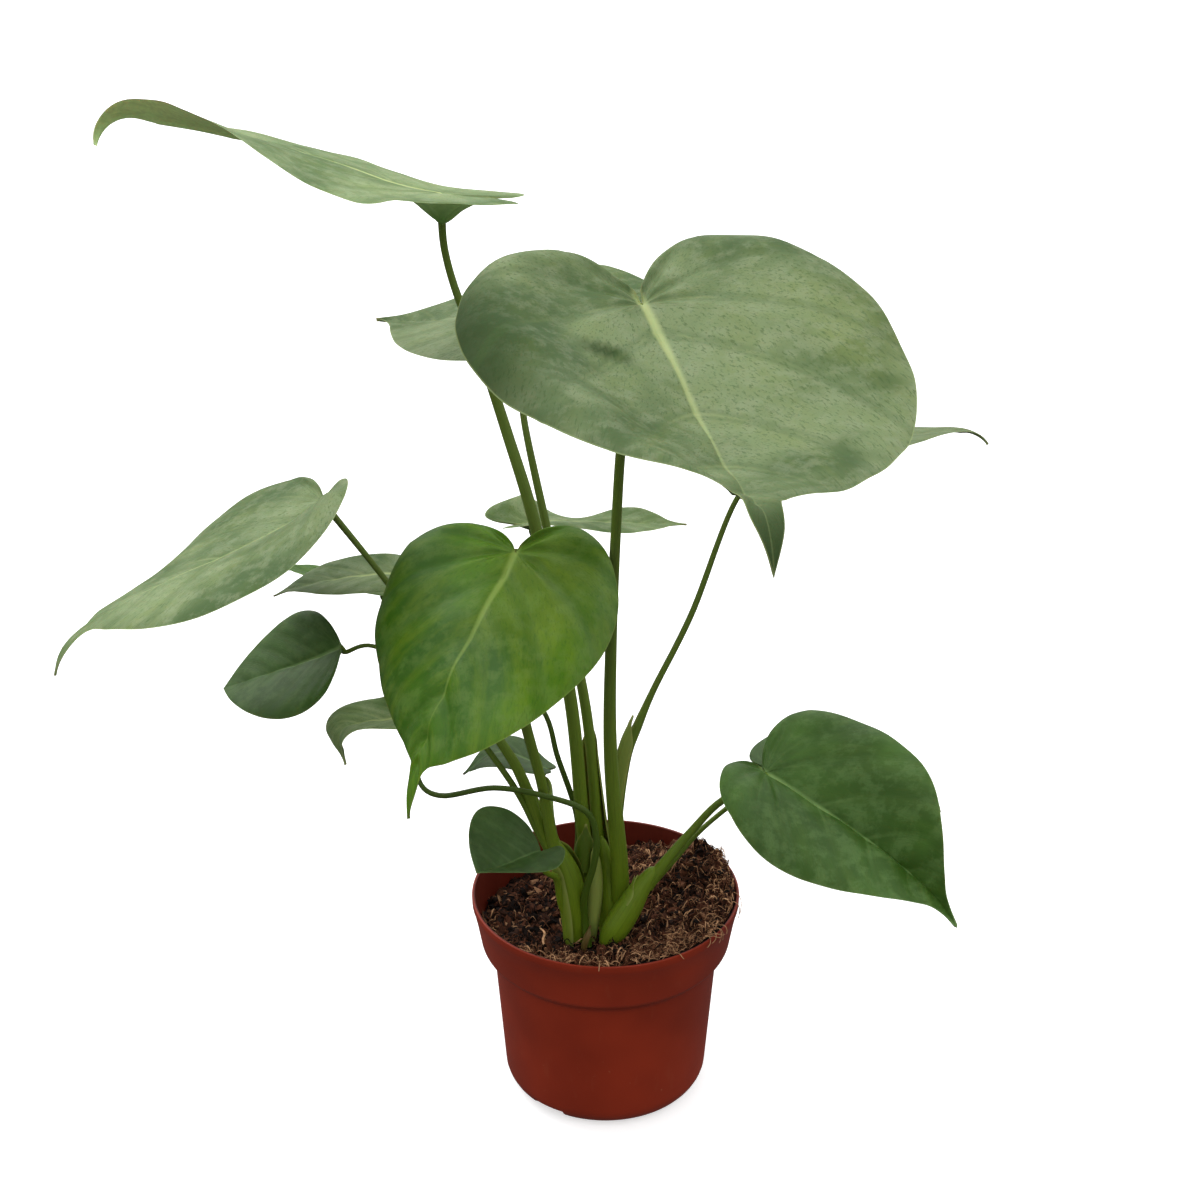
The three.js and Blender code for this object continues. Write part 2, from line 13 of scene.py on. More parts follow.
import bpy
import numpy as np
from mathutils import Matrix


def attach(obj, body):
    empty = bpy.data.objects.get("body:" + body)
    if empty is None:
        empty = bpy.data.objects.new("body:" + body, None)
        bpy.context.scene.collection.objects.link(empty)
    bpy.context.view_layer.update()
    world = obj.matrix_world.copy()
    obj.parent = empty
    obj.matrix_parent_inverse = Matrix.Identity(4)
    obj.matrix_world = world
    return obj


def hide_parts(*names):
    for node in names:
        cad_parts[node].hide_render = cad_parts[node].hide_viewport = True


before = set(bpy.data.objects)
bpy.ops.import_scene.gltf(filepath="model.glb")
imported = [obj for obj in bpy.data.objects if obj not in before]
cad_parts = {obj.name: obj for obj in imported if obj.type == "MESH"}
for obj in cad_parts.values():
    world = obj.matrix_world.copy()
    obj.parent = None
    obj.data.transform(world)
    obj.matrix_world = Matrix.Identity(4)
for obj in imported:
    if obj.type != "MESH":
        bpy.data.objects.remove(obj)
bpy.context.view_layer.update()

LOG = logging.getLogger("potted_aroid")
BODY = "root"

Array = np.ndarray
Socket = bpy.types.NodeSocket
Point = tuple[float, float, float]
Colour = tuple[float, float, float]
Route = tuple[tuple[float, ...], ...]


class LeafAge(Enum):
    """How old a leaf is, which picks the finish of its blade."""

    MATURE = "leaf_mature"
    FRESH = "leaf_fresh"
    DEEP = "leaf_deep"


class Side(Enum):
    """A half of a blade, seen from above with the tip ahead."""

    LEFT = 1
    RIGHT = -1

    @property
    def number(self) -> int:
        """Give its place in a pair of values, left first."""
        return 0 if self is Side.LEFT else 1


class Face(Enum):
    """A face of a blade."""

    TOP = 1
    UNDER = -1


# Curves, unevenness and meshes


def mm(*lengths: float) -> tuple[float, ...]:
    """Give lengths in metres from millimetres."""
    return tuple(length / 1000 for length in lengths)


def path(*marks: tuple[float, ...]) -> Route:
    """Give rows of x, y, z and radius in metres from millimetres."""
    return tuple(mm(*mark) for mark in marks)


def smooth_curve(points: Array, places: Array) -> Array:
    """Follow an even smooth curve through points.

    Args:
        points: The points on the curve, one to a row, with any number of values each.
        places: Where to read it, from 0 at the first point to 1 at the last.

    Returns:
        The values at each place, one row to a place.
    """
    ends = np.vstack([2 * points[0] - points[1], points, 2 * points[-1] - points[-2]])
    spans = len(points) - 1
    x = np.clip(places, 0, 1) * spans
    at = np.minimum(x.astype(int), spans - 1)
    t = (x - at)[:, None]
    a, b, c, d = (ends[at + k] for k in range(4))
    return 0.5 * (2 * b + (c - a) * t + (2 * a - 5 * b + 4 * c - d) * t**2 + (3 * b - a - 3 * c + d) * t**3)


def polar(radius: Array | float, turn: Array | float, height: Array | float) -> Array:
    """Give points by their radius, their angle from +X and their height."""
    flat = np.broadcast_arrays(radius * np.cos(turn), radius * np.sin(turn), height)
    return np.stack(flat, axis=-1)


def at_station(values: tuple[float, ...], place: Array) -> Array:
    """Read evenly spaced station values on the one curve through them all.

    Args:
        values: The value at each station.
        place: Where to read it, from 0 to 1.

    Returns:
        The value at each place.
    """
    x = place * (len(values) - 1)
    total = np.zeros_like(x)
    for i, value in enumerate(values):
        weight = np.ones_like(x)
        for j in range(len(values)):
            if j != i:
                weight = weight * (x - j) / (i - j)
        total = total + value * weight
    return total


def unit(vectors: Array) -> Array:
    """Scale vectors in rows to length one."""
    return vectors / np.maximum(np.linalg.norm(vectors, axis=-1, keepdims=True), 1e-12)


def ease(value: Array, low: float, high: float) -> Array:
    """Rise smoothly from 0 at low to 1 at high."""
    t = np.clip((value - low) / (high - low), 0, 1)
    return t * t * (3 - 2 * t)


@dataclass(frozen=True)
class Unevenness:
    """Smooth uneven height made of crossing waves, the same each time for one seed."""

    seed: int
    wavelength: float
    waves: int = 14

    def at(self, points: Array) -> Array:
        """Give the height at points.

        Args:
            points: Places in space, one to a row.

        Returns:
            One height for each, mostly between -1 and 1.
        """
        rng = np.random.default_rng(self.seed)
        directions = unit(rng.normal(size=(self.waves, 3)))
        lengths = self.wavelength * rng.uniform(0.6, 1.7, self.waves)
        shifts = rng.uniform(0, 2 * math.pi, self.waves)
        angles = points @ directions.T * (2 * math.pi / lengths) + shifts
        return np.sin(angles).sum(axis=1) / math.sqrt(self.waves)


@dataclass
class Skin:
    """Corners, faces and named measures of one mesh, gathered before it becomes a piece."""

    points: list[Array] = field(default_factory=list)
    faces: list[Array] = field(default_factory=list)
    measures: dict[str, list[Array]] = field(default_factory=dict)
    count: int = 0

    def add(self, points: Array, faces: Array, **measures: Array | float) -> None:
        """Add corners and the faces between them.

        Args:
            points: The corners, one to a row.
            faces: Rows of three or four corner numbers, counted within points.
            measures: Values for the corners, by name, or one value for them all.
        """
        self.points.append(points)
        self.faces.append(faces + self.count)
        self.count += len(points)
        for name, values in measures.items():
            whole = np.broadcast_to(np.asarray(values, float), len(points))
            self.measures.setdefault(name, []).append(whole)

    def add_grid(self, points: Array, flip: bool, closed: bool = False, **measures: Array) -> None:
        """Add a grid of corners with a face in each cell.

        Args:
            points: The corners, by row, column and axis.
            flip: Whether the faces look the other way.
            closed: Whether the last column joins the first.
            measures: Values by row and column, by name.
        """
        rows, columns = points.shape[:2]
        numbers = np.arange(rows * columns).reshape(rows, columns)
        ahead = np.roll(numbers, -1, axis=1) if closed else numbers[:, 1:]
        here = numbers if closed else numbers[:, :-1]
        cells = np.stack([here[:-1], here[1:], ahead[1:], ahead[:-1]], axis=-1).reshape(-1, 4)
        flat = {name: np.asarray(values, float).reshape(-1) for name, values in measures.items()}
        self.add(points.reshape(-1, 3), cells[:, ::-1] if flip else cells, **flat)

    def absorb(self, other: "Skin") -> None:
        """Take in all of another mesh, which carries the same measures.

        Args:
            other: The mesh to take in.
        """
        self.faces.extend(faces + self.count for faces in other.faces)
        self.points.extend(other.points)
        self.count += other.count
        for name, values in other.measures.items():
            self.measures.setdefault(name, []).extend(values)

    def merge(self, distance: float = 2e-6) -> None:
        """Join corners that lie at one place, and drop the faces that this closes.

        Args:
            distance: How far apart corners count as one.
        """
        points = np.vstack(self.points)
        keys = np.round(points / distance).astype(np.int64)
        _, first, number = np.unique(keys, axis=0, return_index=True, return_inverse=True)
        number = number.reshape(-1)
        triangles = []
        for faces in self.faces:
            cells = number[faces]
            for k in range(1, cells.shape[1] - 1):
                triangles.append(cells[:, [0, k, k + 1]])
        whole = np.vstack(triangles)
        a, b, c = whole.T
        self.faces = [whole[(a != b) & (b != c) & (c != a)]]
        self.points = [points[first]]
        self.measures = {name: [np.concatenate(v)[first]] for name, v in self.measures.items()}
        self.count = len(first)

    def piece(self, name: str, material: bpy.types.Material, sharp_degrees: float = 60) -> bpy.types.Object:
        """Make the mesh object.

        Args:
            name: The piece's name.
            material: Its one material.
            sharp_degrees: An edge that bends more than this stays sharp.

        Returns:
            The new object, which rides on the part's body.
        """
        mesh = bpy.data.meshes.new(name)
        points = np.vstack(self.points)
        sizes = np.concatenate([np.full(len(f), f.shape[1]) for f in self.faces])
        corners = np.concatenate([f.reshape(-1) for f in self.faces])
        mesh.vertices.add(len(points))
        mesh.vertices.foreach_set("co", points.astype(np.float32).reshape(-1))
        mesh.loops.add(len(corners))
        mesh.loops.foreach_set("vertex_index", corners.astype(np.int32))
        mesh.polygons.add(len(sizes))
        mesh.polygons.foreach_set("loop_start", (np.cumsum(sizes) - sizes).astype(np.int32))
        mesh.update(calc_edges=True)
        mesh.validate()
        mesh.shade_smooth()
        mesh.set_sharp_from_angle(angle=math.radians(sharp_degrees))
        for measure, values in self.measures.items():
            layer = mesh.attributes.new(measure, "FLOAT", "POINT")
            layer.data.foreach_set("value", np.concatenate(values).astype(np.float32))
        mesh.materials.append(material)
        made = stand(name, mesh)
        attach(made, BODY)
        return made


def rings(centres: Array, reach: Array, turn: Array) -> Array:
    """Set corners round a route, square to it and without twist.

    Args:
        centres: The places along the route.
        reach: How far out the corners are, by place and column.
        turn: Their angles, by column or by place and column.

    Returns:
        The corners, by place, column and axis.
    """
    ahead = unit(np.gradient(centres, axis=0))
    across = np.zeros_like(ahead)
    start = np.array([1.0, 0.0, 0.0])
    for i, direction in enumerate(ahead):
        start = unit(start - direction * (start @ direction))
        across[i] = start
    up = np.cross(ahead, across)
    out = across[:, None] * (reach * np.cos(turn))[..., None]
    return centres[:, None] + out + up[:, None] * (reach * np.sin(turn))[..., None]


def stand(name: str, data: bpy.types.ID) -> bpy.types.Object:
    """Put a mesh, lamp or camera in the scene as an object.

    Args:
        name: The object's name.
        data: The mesh, lamp or camera.

    Returns:
        The new object.
    """
    made = bpy.data.objects.new(name, data)
    bpy.context.scene.collection.objects.link(made)
    return made


def tube(
    skin: Skin,
    route: Array,
    sides: int,
    steps: int,
    section: "SheathSection | None" = None,
    **measures: float,
) -> None:
    """Add a closed round tube along a route.

    Args:
        skin: The mesh that it goes in.
        route: Rows of x, y, z and radius.
        sides: Corners round it.
        steps: Rings along it.
        section: How its radius changes round it, or None for a plain round one.
        measures: Values that are the same all over it, by name.
    """
    places = np.linspace(0, 1, steps + 1)
    whole = smooth_curve(route, places)
    turn = np.linspace(0, 2 * math.pi, sides, endpoint=False)
    shape = (steps + 1, sides)
    scale, lip = section.shape(places, turn) if section else (np.ones(shape), np.zeros(shape))
    ring = rings(whole[:, :3], whole[:, 3:] * scale, turn)
    spread = {name: np.full(shape, value) for name, value in measures.items()}
    base = skin.count
    skin.add_grid(ring, flip=True, closed=True, lip=lip, around=np.broadcast_to(turn, shape), **spread)
    last = steps * sides
    fan = np.array([[0, k, k + 1] for k in range(1, sides - 1)])
    skin.faces.append(np.vstack([fan[:, ::-1] + base, fan + base + last]))


# Node recipes


class NodeTree:
    """A tree of nodes that a material or the world is built in."""

    def __init__(self, tree: bpy.types.NodeTree) -> None:
        """Take the tree that the nodes go in."""
        self.tree = tree

    def node(self, kind: str, **settings: object) -> bpy.types.Node:
        """Add a node and set its named settings.

        Args:
            kind: Blender's name for the kind of node.
            settings: What to set on it, by name.

        Returns:
            The node.
        """
        made = self.tree.nodes.new(kind)
        for name, value in settings.items():
            setattr(made, name, value)
        return made

    def feed(self, socket: Socket, value: object) -> None:
        """Link an output to a socket, or set the socket to a number or colour.

        Args:
            socket: The input.
            value: An output, a number or a colour.
        """
        if isinstance(value, Socket):
            self.tree.links.new(value, socket)
        elif isinstance(value, tuple) and socket.type == "RGBA":
            socket.default_value = (*value, 1.0)
        else:
            socket.default_value = value

    def measure(self, name: str) -> Socket:
        """Read a measure that the mesh carries."""
        return self.node("ShaderNodeAttribute", attribute_name=name).outputs["Fac"]

    def place(self) -> Socket:
        """Read the point in the object's own space."""
        return self.node("ShaderNodeTexCoord").outputs["Object"]

    def sum(self, operation: str, *values: object) -> Socket:
        """Do one sum on numbers or outputs.

        Args:
            operation: Blender's name for the sum.
            values: What it is done on.

        Returns:
            The outcome.
        """
        made = self.node("ShaderNodeMath", operation=operation)
        for socket, value in zip(made.inputs, values):
            self.feed(socket, value)
        return made.outputs[0]

    def times(self, *values: object) -> Socket:
        """Multiply two numbers or outputs."""
        return self.sum("MULTIPLY", *values)

    def plus(self, *values: object) -> Socket:
        """Add two numbers or outputs."""
        return self.sum("ADD", *values)

    def axes(self, place: object) -> tuple[Socket, ...]:
        """Split a place into its three numbers.

        Args:
            place: The place.

        Returns:
            Its x, y and z.
        """
        made = self.node("ShaderNodeSeparateXYZ")
        self.feed(made.inputs[0], place)
        return tuple(made.outputs)

    def step(self, value: object, low: float, high: float, start: object = 0.0, end: object = 1.0) -> Socket:
        """Pass smoothly from start to end as the value goes from low to high.

        Args:
            value: What is followed.
            low: Where it starts to pass.
            high: Where it has passed.
            start: What is given below low.
            end: What is given above high.

        Returns:
            The passing value.
        """
        made = self.node("ShaderNodeMapRange", interpolation_type="SMOOTHSTEP")
        for socket, number in zip(made.inputs, (value, low, high, start, end)):
            self.feed(socket, number)
        return made.outputs["Result"]

    def mix(self, share: object, first: object, second: object, blend: str = "MIX") -> Socket:
        """Mix two colours by a share.

        Args:
            share: How much of the second there is, from 0 to 1.
            first: The first colour.
            second: The second colour.
            blend: Blender's name for the way of mixing.

        Returns:
            The colour.
        """
        made = self.node("ShaderNodeMix", data_type="RGBA", blend_type=blend)
        self.feed(made.inputs["Factor"], share)
        self.feed(made.inputs[6], first)
        self.feed(made.inputs[7], second)
        return made.outputs[2]

    def noise(self, place: object, scale: float, detail: float = 3, rough: float = 0.5) -> Socket:
        """Even noise from 0 to 1 at a place.

        Args:
            place: Where it is read.
            scale: How many lumps there are to one unit.
            detail: How many finer layers it has.
            rough: How strong the finer layers are.

        Returns:
            The noise.
        """
        made = self.node("ShaderNodeTexNoise")
        self.feed(made.inputs["Vector"], place)
        self.feed(made.inputs["Scale"], scale)
        self.feed(made.inputs["Detail"], detail)
        self.feed(made.inputs["Roughness"], rough)
        return made.outputs["Fac"]

    def vector(self, x: object, y: object, z: object = 0.0) -> Socket:
        """Join three numbers as one place.

        Args:
            x: The first.
            y: The second.
            z: The third.

        Returns:
            The place.
        """
        made = self.node("ShaderNodeCombineXYZ")
        for socket, value in zip(made.inputs, (x, y, z)):
            self.feed(socket, value)
        return made.outputs[0]


class Recipe(NodeTree):
    """A node material that ends in one Principled shader."""

    def __init__(self, name: str) -> None:
        """Start a material of this name.

        Args:
            name: The material's name.
        """
        self.material = bpy.data.materials.new(name)
        self.material.use_nodes = True
        super().__init__(self.material.node_tree)
        self.shader = self.tree.nodes["Principled BSDF"]

    def bump(self, height: object, distance: float, strength: float = 1.0) -> None:
        """Raise the surface by a height times a distance, on top of what was raised before.

        Args:
            height: The height, from 0 to 1.
            distance: How far a height of 1 stands out, in metres.
            strength: How much of it is shown.
        """
        made = self.node("ShaderNodeBump")
        self.feed(made.inputs["Height"], height)
        self.feed(made.inputs["Distance"], distance)
        self.feed(made.inputs["Strength"], strength)
        before = self.shader.inputs["Normal"]
        if before.is_linked:
            self.feed(made.inputs["Normal"], before.links[0].from_socket)
        self.feed(before, made.outputs[0])

    def finish(self, colour: object, roughness: object, **constants: float) -> bpy.types.Material:
        """Set the shader's colour, roughness and constant values.

        Args:
            colour: The base colour or an output.
            roughness: The roughness or an output.
            constants: Other sockets by name, with _ for a space.

        Returns:
            The material.
        """
        self.feed(self.shader.inputs["Base Color"], colour)
        self.feed(self.shader.inputs["Roughness"], roughness)
        for name, value in constants.items():
            self.shader.inputs[name.replace("_", " ")].default_value = value
        return self.material


def plain(red: int, green: int, blue: int) -> Colour:
    """Give a paint-chart colour, from 0 to 255, as the linear colour that a shader takes."""
    shares = (value / 255 for value in (red, green, blue))
    return tuple(s / 12.92 if s <= 0.04045 else ((s + 0.055) / 1.055) ** 2.4 for s in shares)


# Leaf blades


LOBE = ((0, 0), (-0.07, 0.05), (-0.155, 0.2), (-0.19, 0.43), (-0.13, 0.72), (0.03, 0.94), (0.22, 1))


class Outline(Enum):
    """Half of a blade's edge, along the midrib in blade lengths and out in half widths."""

    HEART = (*LOBE, (0.4, 0.94), (0.57, 0.79), (0.71, 0.56), (0.82, 0.3), (0.88, 0.14), (0.93, 0.065), (1, 0))
    DRIP = (
        *LOBE, (0.4, 0.94), (0.56, 0.79), (0.68, 0.57), (0.76, 0.33), (0.805, 0.14), (0.84, 0.085),
        (0.92, 0.06), (1, 0),
    )
    WEDGE = (*LOBE, (0.42, 0.93), (0.6, 0.76), (0.74, 0.52), (0.84, 0.3), (0.92, 0.13), (1, 0))
    OVATE = (
        (0, 0), (-0.01, 0.12), (0, 0.3), (0.04, 0.55), (0.13, 0.82), (0.27, 0.98), (0.42, 1), (0.58, 0.89),
        (0.74, 0.67), (0.87, 0.4), (0.95, 0.17), (1, 0),
    )


@dataclass(frozen=True)
class LeafFinish:
    """The look of a blade: its greens, its pale ribs and margin, and its soft shine."""

    name: str
    body: Colour
    shade: Colour
    fresh: Colour
    bloom: Colour
    rib: Colour
    under: Colour
    fresh_share: float
    bloom_share: float
    vein_strength: float
    fleck_strength: float
    roughness: float
    shine: float

    def greens(self, r: Recipe, place: Socket, lie: Socket) -> Socket:
        """Mix the upper face's greens: broad drift, bands along the veins, clouds and short flecks.

        Args:
            r: The material's recipe.
            place: The point in space.
            lie: The point counted across and along the veins.

        Returns:
            The colour.
        """
        colour = r.mix(r.step(r.noise(place, 17, 3, 0.55), 0.36, 0.62), self.shade, self.body)
        bands = r.step(r.noise(lie, 1.1, 4, 0.6), 0.42, 0.72)
        colour = r.mix(r.times(bands, self.fresh_share), colour, self.fresh)
        colour = r.mix(r.times(r.measure("warm"), 0.8), colour, self.fresh)
        cloud = r.step(r.noise(place, 130, 6, 0.68), 0.44, 0.62)
        colour = r.mix(r.times(cloud, self.bloom_share), colour, self.bloom)
        flecks = r.step(r.noise(lie, 11.0, 4, 0.7), 0.53, 0.62)
        specks = r.step(r.noise(place, 520, 3, 0.6), 0.55, 0.72)
        dark = r.times(r.sum("MAXIMUM", flecks, r.times(specks, 0.6)), self.fleck_strength)
        colour = r.mix(dark, colour, self.shade)
        # Spots darken the top towards a deeper, blacker green: a leaf's own blotches, and painted shade where
        # its margin or tip turns away from the light.
        return r.mix(r.times(r.measure("mark"), 0.9), colour, r.mix(0.45, self.shade, (0, 0, 0)))

    def material(self) -> bpy.types.Material:
        """Build the node material.

        Returns:
            The material.
        """
        r = Recipe(self.name)
        rib, edge, under = r.measure("rib"), r.measure("edge"), r.measure("under")
        veins, span, along = r.measure("veins"), r.measure("span"), r.measure("along")
        place = r.place()
        lie = r.vector(r.times(veins, 2.2), r.times(r.measure("out"), 0.05), under)
        colour = self.greens(r, place, lie)
        fine = r.noise(place, 420, 4, 0.65)

        away = r.times(r.sum("PINGPONG", veins, 0.5), span)
        line = r.step(away, 1.7, 0.1)
        # Painted shade: a soft darker band along each side vein, where the sunk vein's furrow lies.
        painted_furrow_shade = r.times(r.step(away, 4.2, 1.4), 0.3)
        colour = r.mix(painted_furrow_shade, colour, self.shade)
        patchy = r.step(r.noise(lie, 1.7, 3, 0.6), 0.36, 0.66)
        strong = r.times(r.step(r.measure("share"), 0.95, 0.05), self.vein_strength)
        line = r.times(r.times(line, patchy), strong)
        colour = r.mix(line, colour, self.rib)

        rib_line = r.step(r.plus(rib, r.times(fine, 0.4)), 1.75, 0.5)
        rib_line = r.times(rib_line, r.step(along, 0.9, -0.05, 0.14, 0.85))
        colour = r.mix(rib_line, colour, self.rib)
        back = r.mix(r.step(fine, 0.3, 0.7), self.under, r.mix(0.25, self.under, self.shade))
        back = r.mix(r.times(r.plus(line, rib_line), 0.5), back, self.rib)
        back = r.mix(r.measure("foot"), back, self.shade)
        colour = r.mix(under, colour, back)
        colour = r.mix(r.times(r.step(edge, 0.55, 0.1), 0.4), colour, self.rib)
        # Painted light and shade: each face's colours are scaled by the blade's own number, for how lit that
        # face looks together with the leaf's own lighter or deeper tone.
        colour = r.mix(1.0, colour, r.measure("light"), "MULTIPLY")

        r.bump(fine, 0.0001, 0.4)
        r.bump(r.noise(lie, 9.0, 2, 0.5), 0.00025, 0.35)
        rough = r.times(r.noise(place, 40, 3, 0.6), 0.16)
        rough = r.plus(r.plus(rough, self.roughness - 0.1), r.times(fine, 0.08))
        rough = r.plus(rough, r.times(under, 0.12))
        rough = r.plus(rough, r.times(r.measure("mark"), 0.35))
        return r.finish(
            colour, rough, Subsurface_Weight=0.1, Subsurface_Scale=0.002, Specular_IOR_Level=self.shine,
        )


@dataclass(frozen=True)
class VeinPlan:
    """The thickness of every blade, and where its side veins and midrib lie."""

    slant: float = 0.35
    places: tuple[float, ...] = (0, 0.15, 0.28, 0.4, 0.51, 0.6, 0.68, 0.76, 0.86, 1)
    arc: float = 0.05
    thickness: float = 0.0006
    rib_width: float = 0.0016
    rib_depth: float = 0.0012
    channel_share: float = 0.45
    vein_depth: float = 0.00025
    vein_mm: float = 0.7
    furrow_mm: float = 1.5
    crest: float = 0.82
    usual_length: float = 0.15

    def phase(self, around: Array, out: Array) -> Array:
        """Count veins from the sinus to the tip; a whole number lies on a vein.

        Args:
            around: The place along the half outline, from 0 to 1.
            out: The share of the way from the midrib to the margin.

        Returns:
            The count at each place.
        """
        bent = around - self.arc * out**2
        return np.interp(bent, self.places, np.arange(len(self.places)))


@dataclass(frozen=True)
class Mark:
    """A soft spot on a blade's top, at a place along it and out to its left."""

    along: float
    out: float
    half_length: float
    half_width: float
    lean: float = 0.0
    strength: float = 1.0

    def at(self, along: Array, out: Array) -> Array:
        """Give how much of the spot there is at each place.

        Args:
            along: Along the midrib, in blade lengths.
            out: Out to the left, in half widths.

        Returns:
            The amount, from 0 to strength.
        """
        x, y = along - self.along, out - self.out
        far = ((x + self.lean * y) / self.half_length) ** 4 + (y / self.half_width) ** 4
        return self.strength * np.exp(-far)


@dataclass(frozen=True)
class Blade:
    """One leaf blade: where it sits, which way it lies, and how its halves fold and curl.

    Seat is the junction with the stalk. Heading turns from +X towards +Y, swing adds to it along
    the blade, pitch lifts the midrib, and bend turns it down by some degrees from one place to
    another. Roll lifts the left half, and fold and curl bend each half up from the midrib. Cup
    turns each side margin down, and tuck does the same beside the sinus.
    """

    node: str
    age: LeafAge
    outline: Outline
    seat: Point
    heading: float
    swing: tuple[float, ...]
    pitch: tuple[float, ...]
    roll: tuple[float, ...]
    length: float
    width: float
    fold: tuple[tuple[float, ...], tuple[float, ...]]
    curl: tuple[float, float]
    neck: float
    bend: tuple[float, float, float] = (0.84, 1, 0)
    lobe: tuple[float, float] = (1, 1)
    bias: float = 1
    quilt: float = 0.0003
    wave: float = 0.0005
    cup: tuple[float, float] = (0.0004, 0.0004)
    tuck: float = 0.0004
    rib_half: float = 0.0011
    boss: float = 0.0012
    boss_width: float = 3.2
    # Spots darken the top face: a leaf's own blotches, and painted shade where a margin or tip turns away
    # from the light.
    blotches_and_painted_shade: tuple[Mark, ...] = ()
    warmth: Mark | None = None
    # These two numbers scale the colours of the top face and of the under face: painted light and shade for
    # how lit each face looks, together with the leaf's own lighter or deeper tone.
    light: float = 1.0
    underside_painted_light: float = 1.0
    seed: int = 1
    rows: int = 84
    columns: int = 26
    stations: int = 61
    plan: VeinPlan = VeinPlan()

    def midrib(self) -> tuple[Array, Array, Array, Array]:
        """Follow the midrib from the junction to the tip.

        Returns:
            Centres, and the directions ahead, left and up, one row to each station.
        """
        place = np.linspace(0, 1, self.stations)
        start, end, degrees = self.bend
        bent = degrees * np.clip((place - start) / (end - start), 0, 1)
        heading = np.radians(self.heading + at_station(self.swing, place))
        pitch = np.radians(at_station(self.pitch, place) - bent)
        roll = np.radians(at_station(self.roll, place))[:, None]
        ahead = polar(np.cos(pitch), heading, np.sin(pitch))
        level = polar(1, heading + math.pi / 2, 0)
        left = level * np.cos(roll) + np.cross(ahead, level) * np.sin(roll)
        up = np.cross(ahead, left)
        moves = (ahead[1:] + ahead[:-1]) / 2 * self.length / (self.stations - 1)
        centres = np.vstack([np.zeros(3), np.cumsum(moves, axis=0)]) + np.array(self.seat)
        return centres, ahead, left, up

    def lay(self, side: Side, along: Array, out: Array) -> tuple[Array, Array]:
        """Lay places of the flat blade on its curved middle surface.

        Args:
            side: The half.
            along: Along the midrib, in blade lengths.
            out: Out from the midrib, in half widths.

        Returns:
            The points and the normals of the top face.
        """
        place = np.clip(along, 0, 1)
        stations = np.linspace(0, 1, self.stations)
        centre, ahead, left, up = (
            np.stack([np.interp(place, stations, values[:, k]) for k in range(3)], axis=-1)
            for values in self.midrib()
        )
        fold = np.radians(at_station(self.fold[side.number], place))
        curl = math.radians(self.curl[side.number])
        slope = fold + curl * out
        reach = (np.sin(slope) - np.sin(fold)) / curl * self.width / 2
        lift = (np.cos(fold) - np.cos(slope)) / curl * self.width / 2
        back = np.minimum(along, 0) * self.length
        across = (side.value * reach)[..., None] * left
        points = centre + back[..., None] * ahead + across + lift[..., None] * up
        tilt = np.where(out > 1e-6, slope, 0)[..., None]
        return points, up * np.cos(tilt) - side.value * left * np.sin(tilt)

    def half(self, side: Side) -> dict[str, Array]:
        """Measure one half of the blade on a grid from the midrib to the margin.

        Args:
            side: The half.

        Returns:
            Points, normals and measures by name, each by row and column.
        """
        around = np.linspace(0, 1, self.rows + 1)[:, None]
        share = np.linspace(0, 1, self.columns + 1)[None, :]
        # Columns stand closer near the midrib and near the margin.
        share = 0.55 * share**1.5 + 0.45 * (1 - (1 - share) ** 1.6)
        outline = smooth_curve(np.array(self.outline.value, float), around[:, 0])
        away, wide = outline[:, :1], outline[:, 1:]
        on_midrib = np.maximum(0, away - self.plan.slant * wide)
        on_midrib[-1] = 1
        margin = np.where(away < 0, away * self.lobe[side.number], away)
        along = on_midrib + (margin - on_midrib) * share
        out = wide * share * (self.bias if side is Side.LEFT else 2 - self.bias)
        points, normals = self.lay(side, along, out)

        around, share = (np.broadcast_to(values, along.shape) for values in (around, share))
        veins = self.plan.phase(around, share)
        by_row = np.gradient(points, axis=0)
        by_column = unit(np.gradient(points, axis=1))
        sideways = np.linalg.norm(by_row - (by_row * by_column).sum(-1, keepdims=True) * by_column, axis=-1)
        span = sideways / np.maximum(np.gradient(veins, axis=0), 1e-4) * 1000
        rib_half = self.rib_half * (0.16 + 0.84 * ease(along, 0.9, -0.02) ** 1.3)
        flat = out * side.value
        return {
            "points": points, "normals": normals, "around": around, "along": along, "share": share,
            "veins": veins, "span": span, "from_vein": np.abs(veins - np.round(veins)) * span,
            "out": out * self.width * 500,
            "edge": np.linalg.norm(points - points[:, -1:], axis=-1) * 1000,
            "rib": out * self.width / 2 / rib_half,
            # The mark measure sums the spots: the leaf's own blotches and painted shade.
            "mark": np.clip(sum((spot.at(along, flat) for spot in self.blotches_and_painted_shade), 0 * along), 0, 1),
            "warm": self.warmth.at(along, flat) if self.warmth else 0 * along,
        }

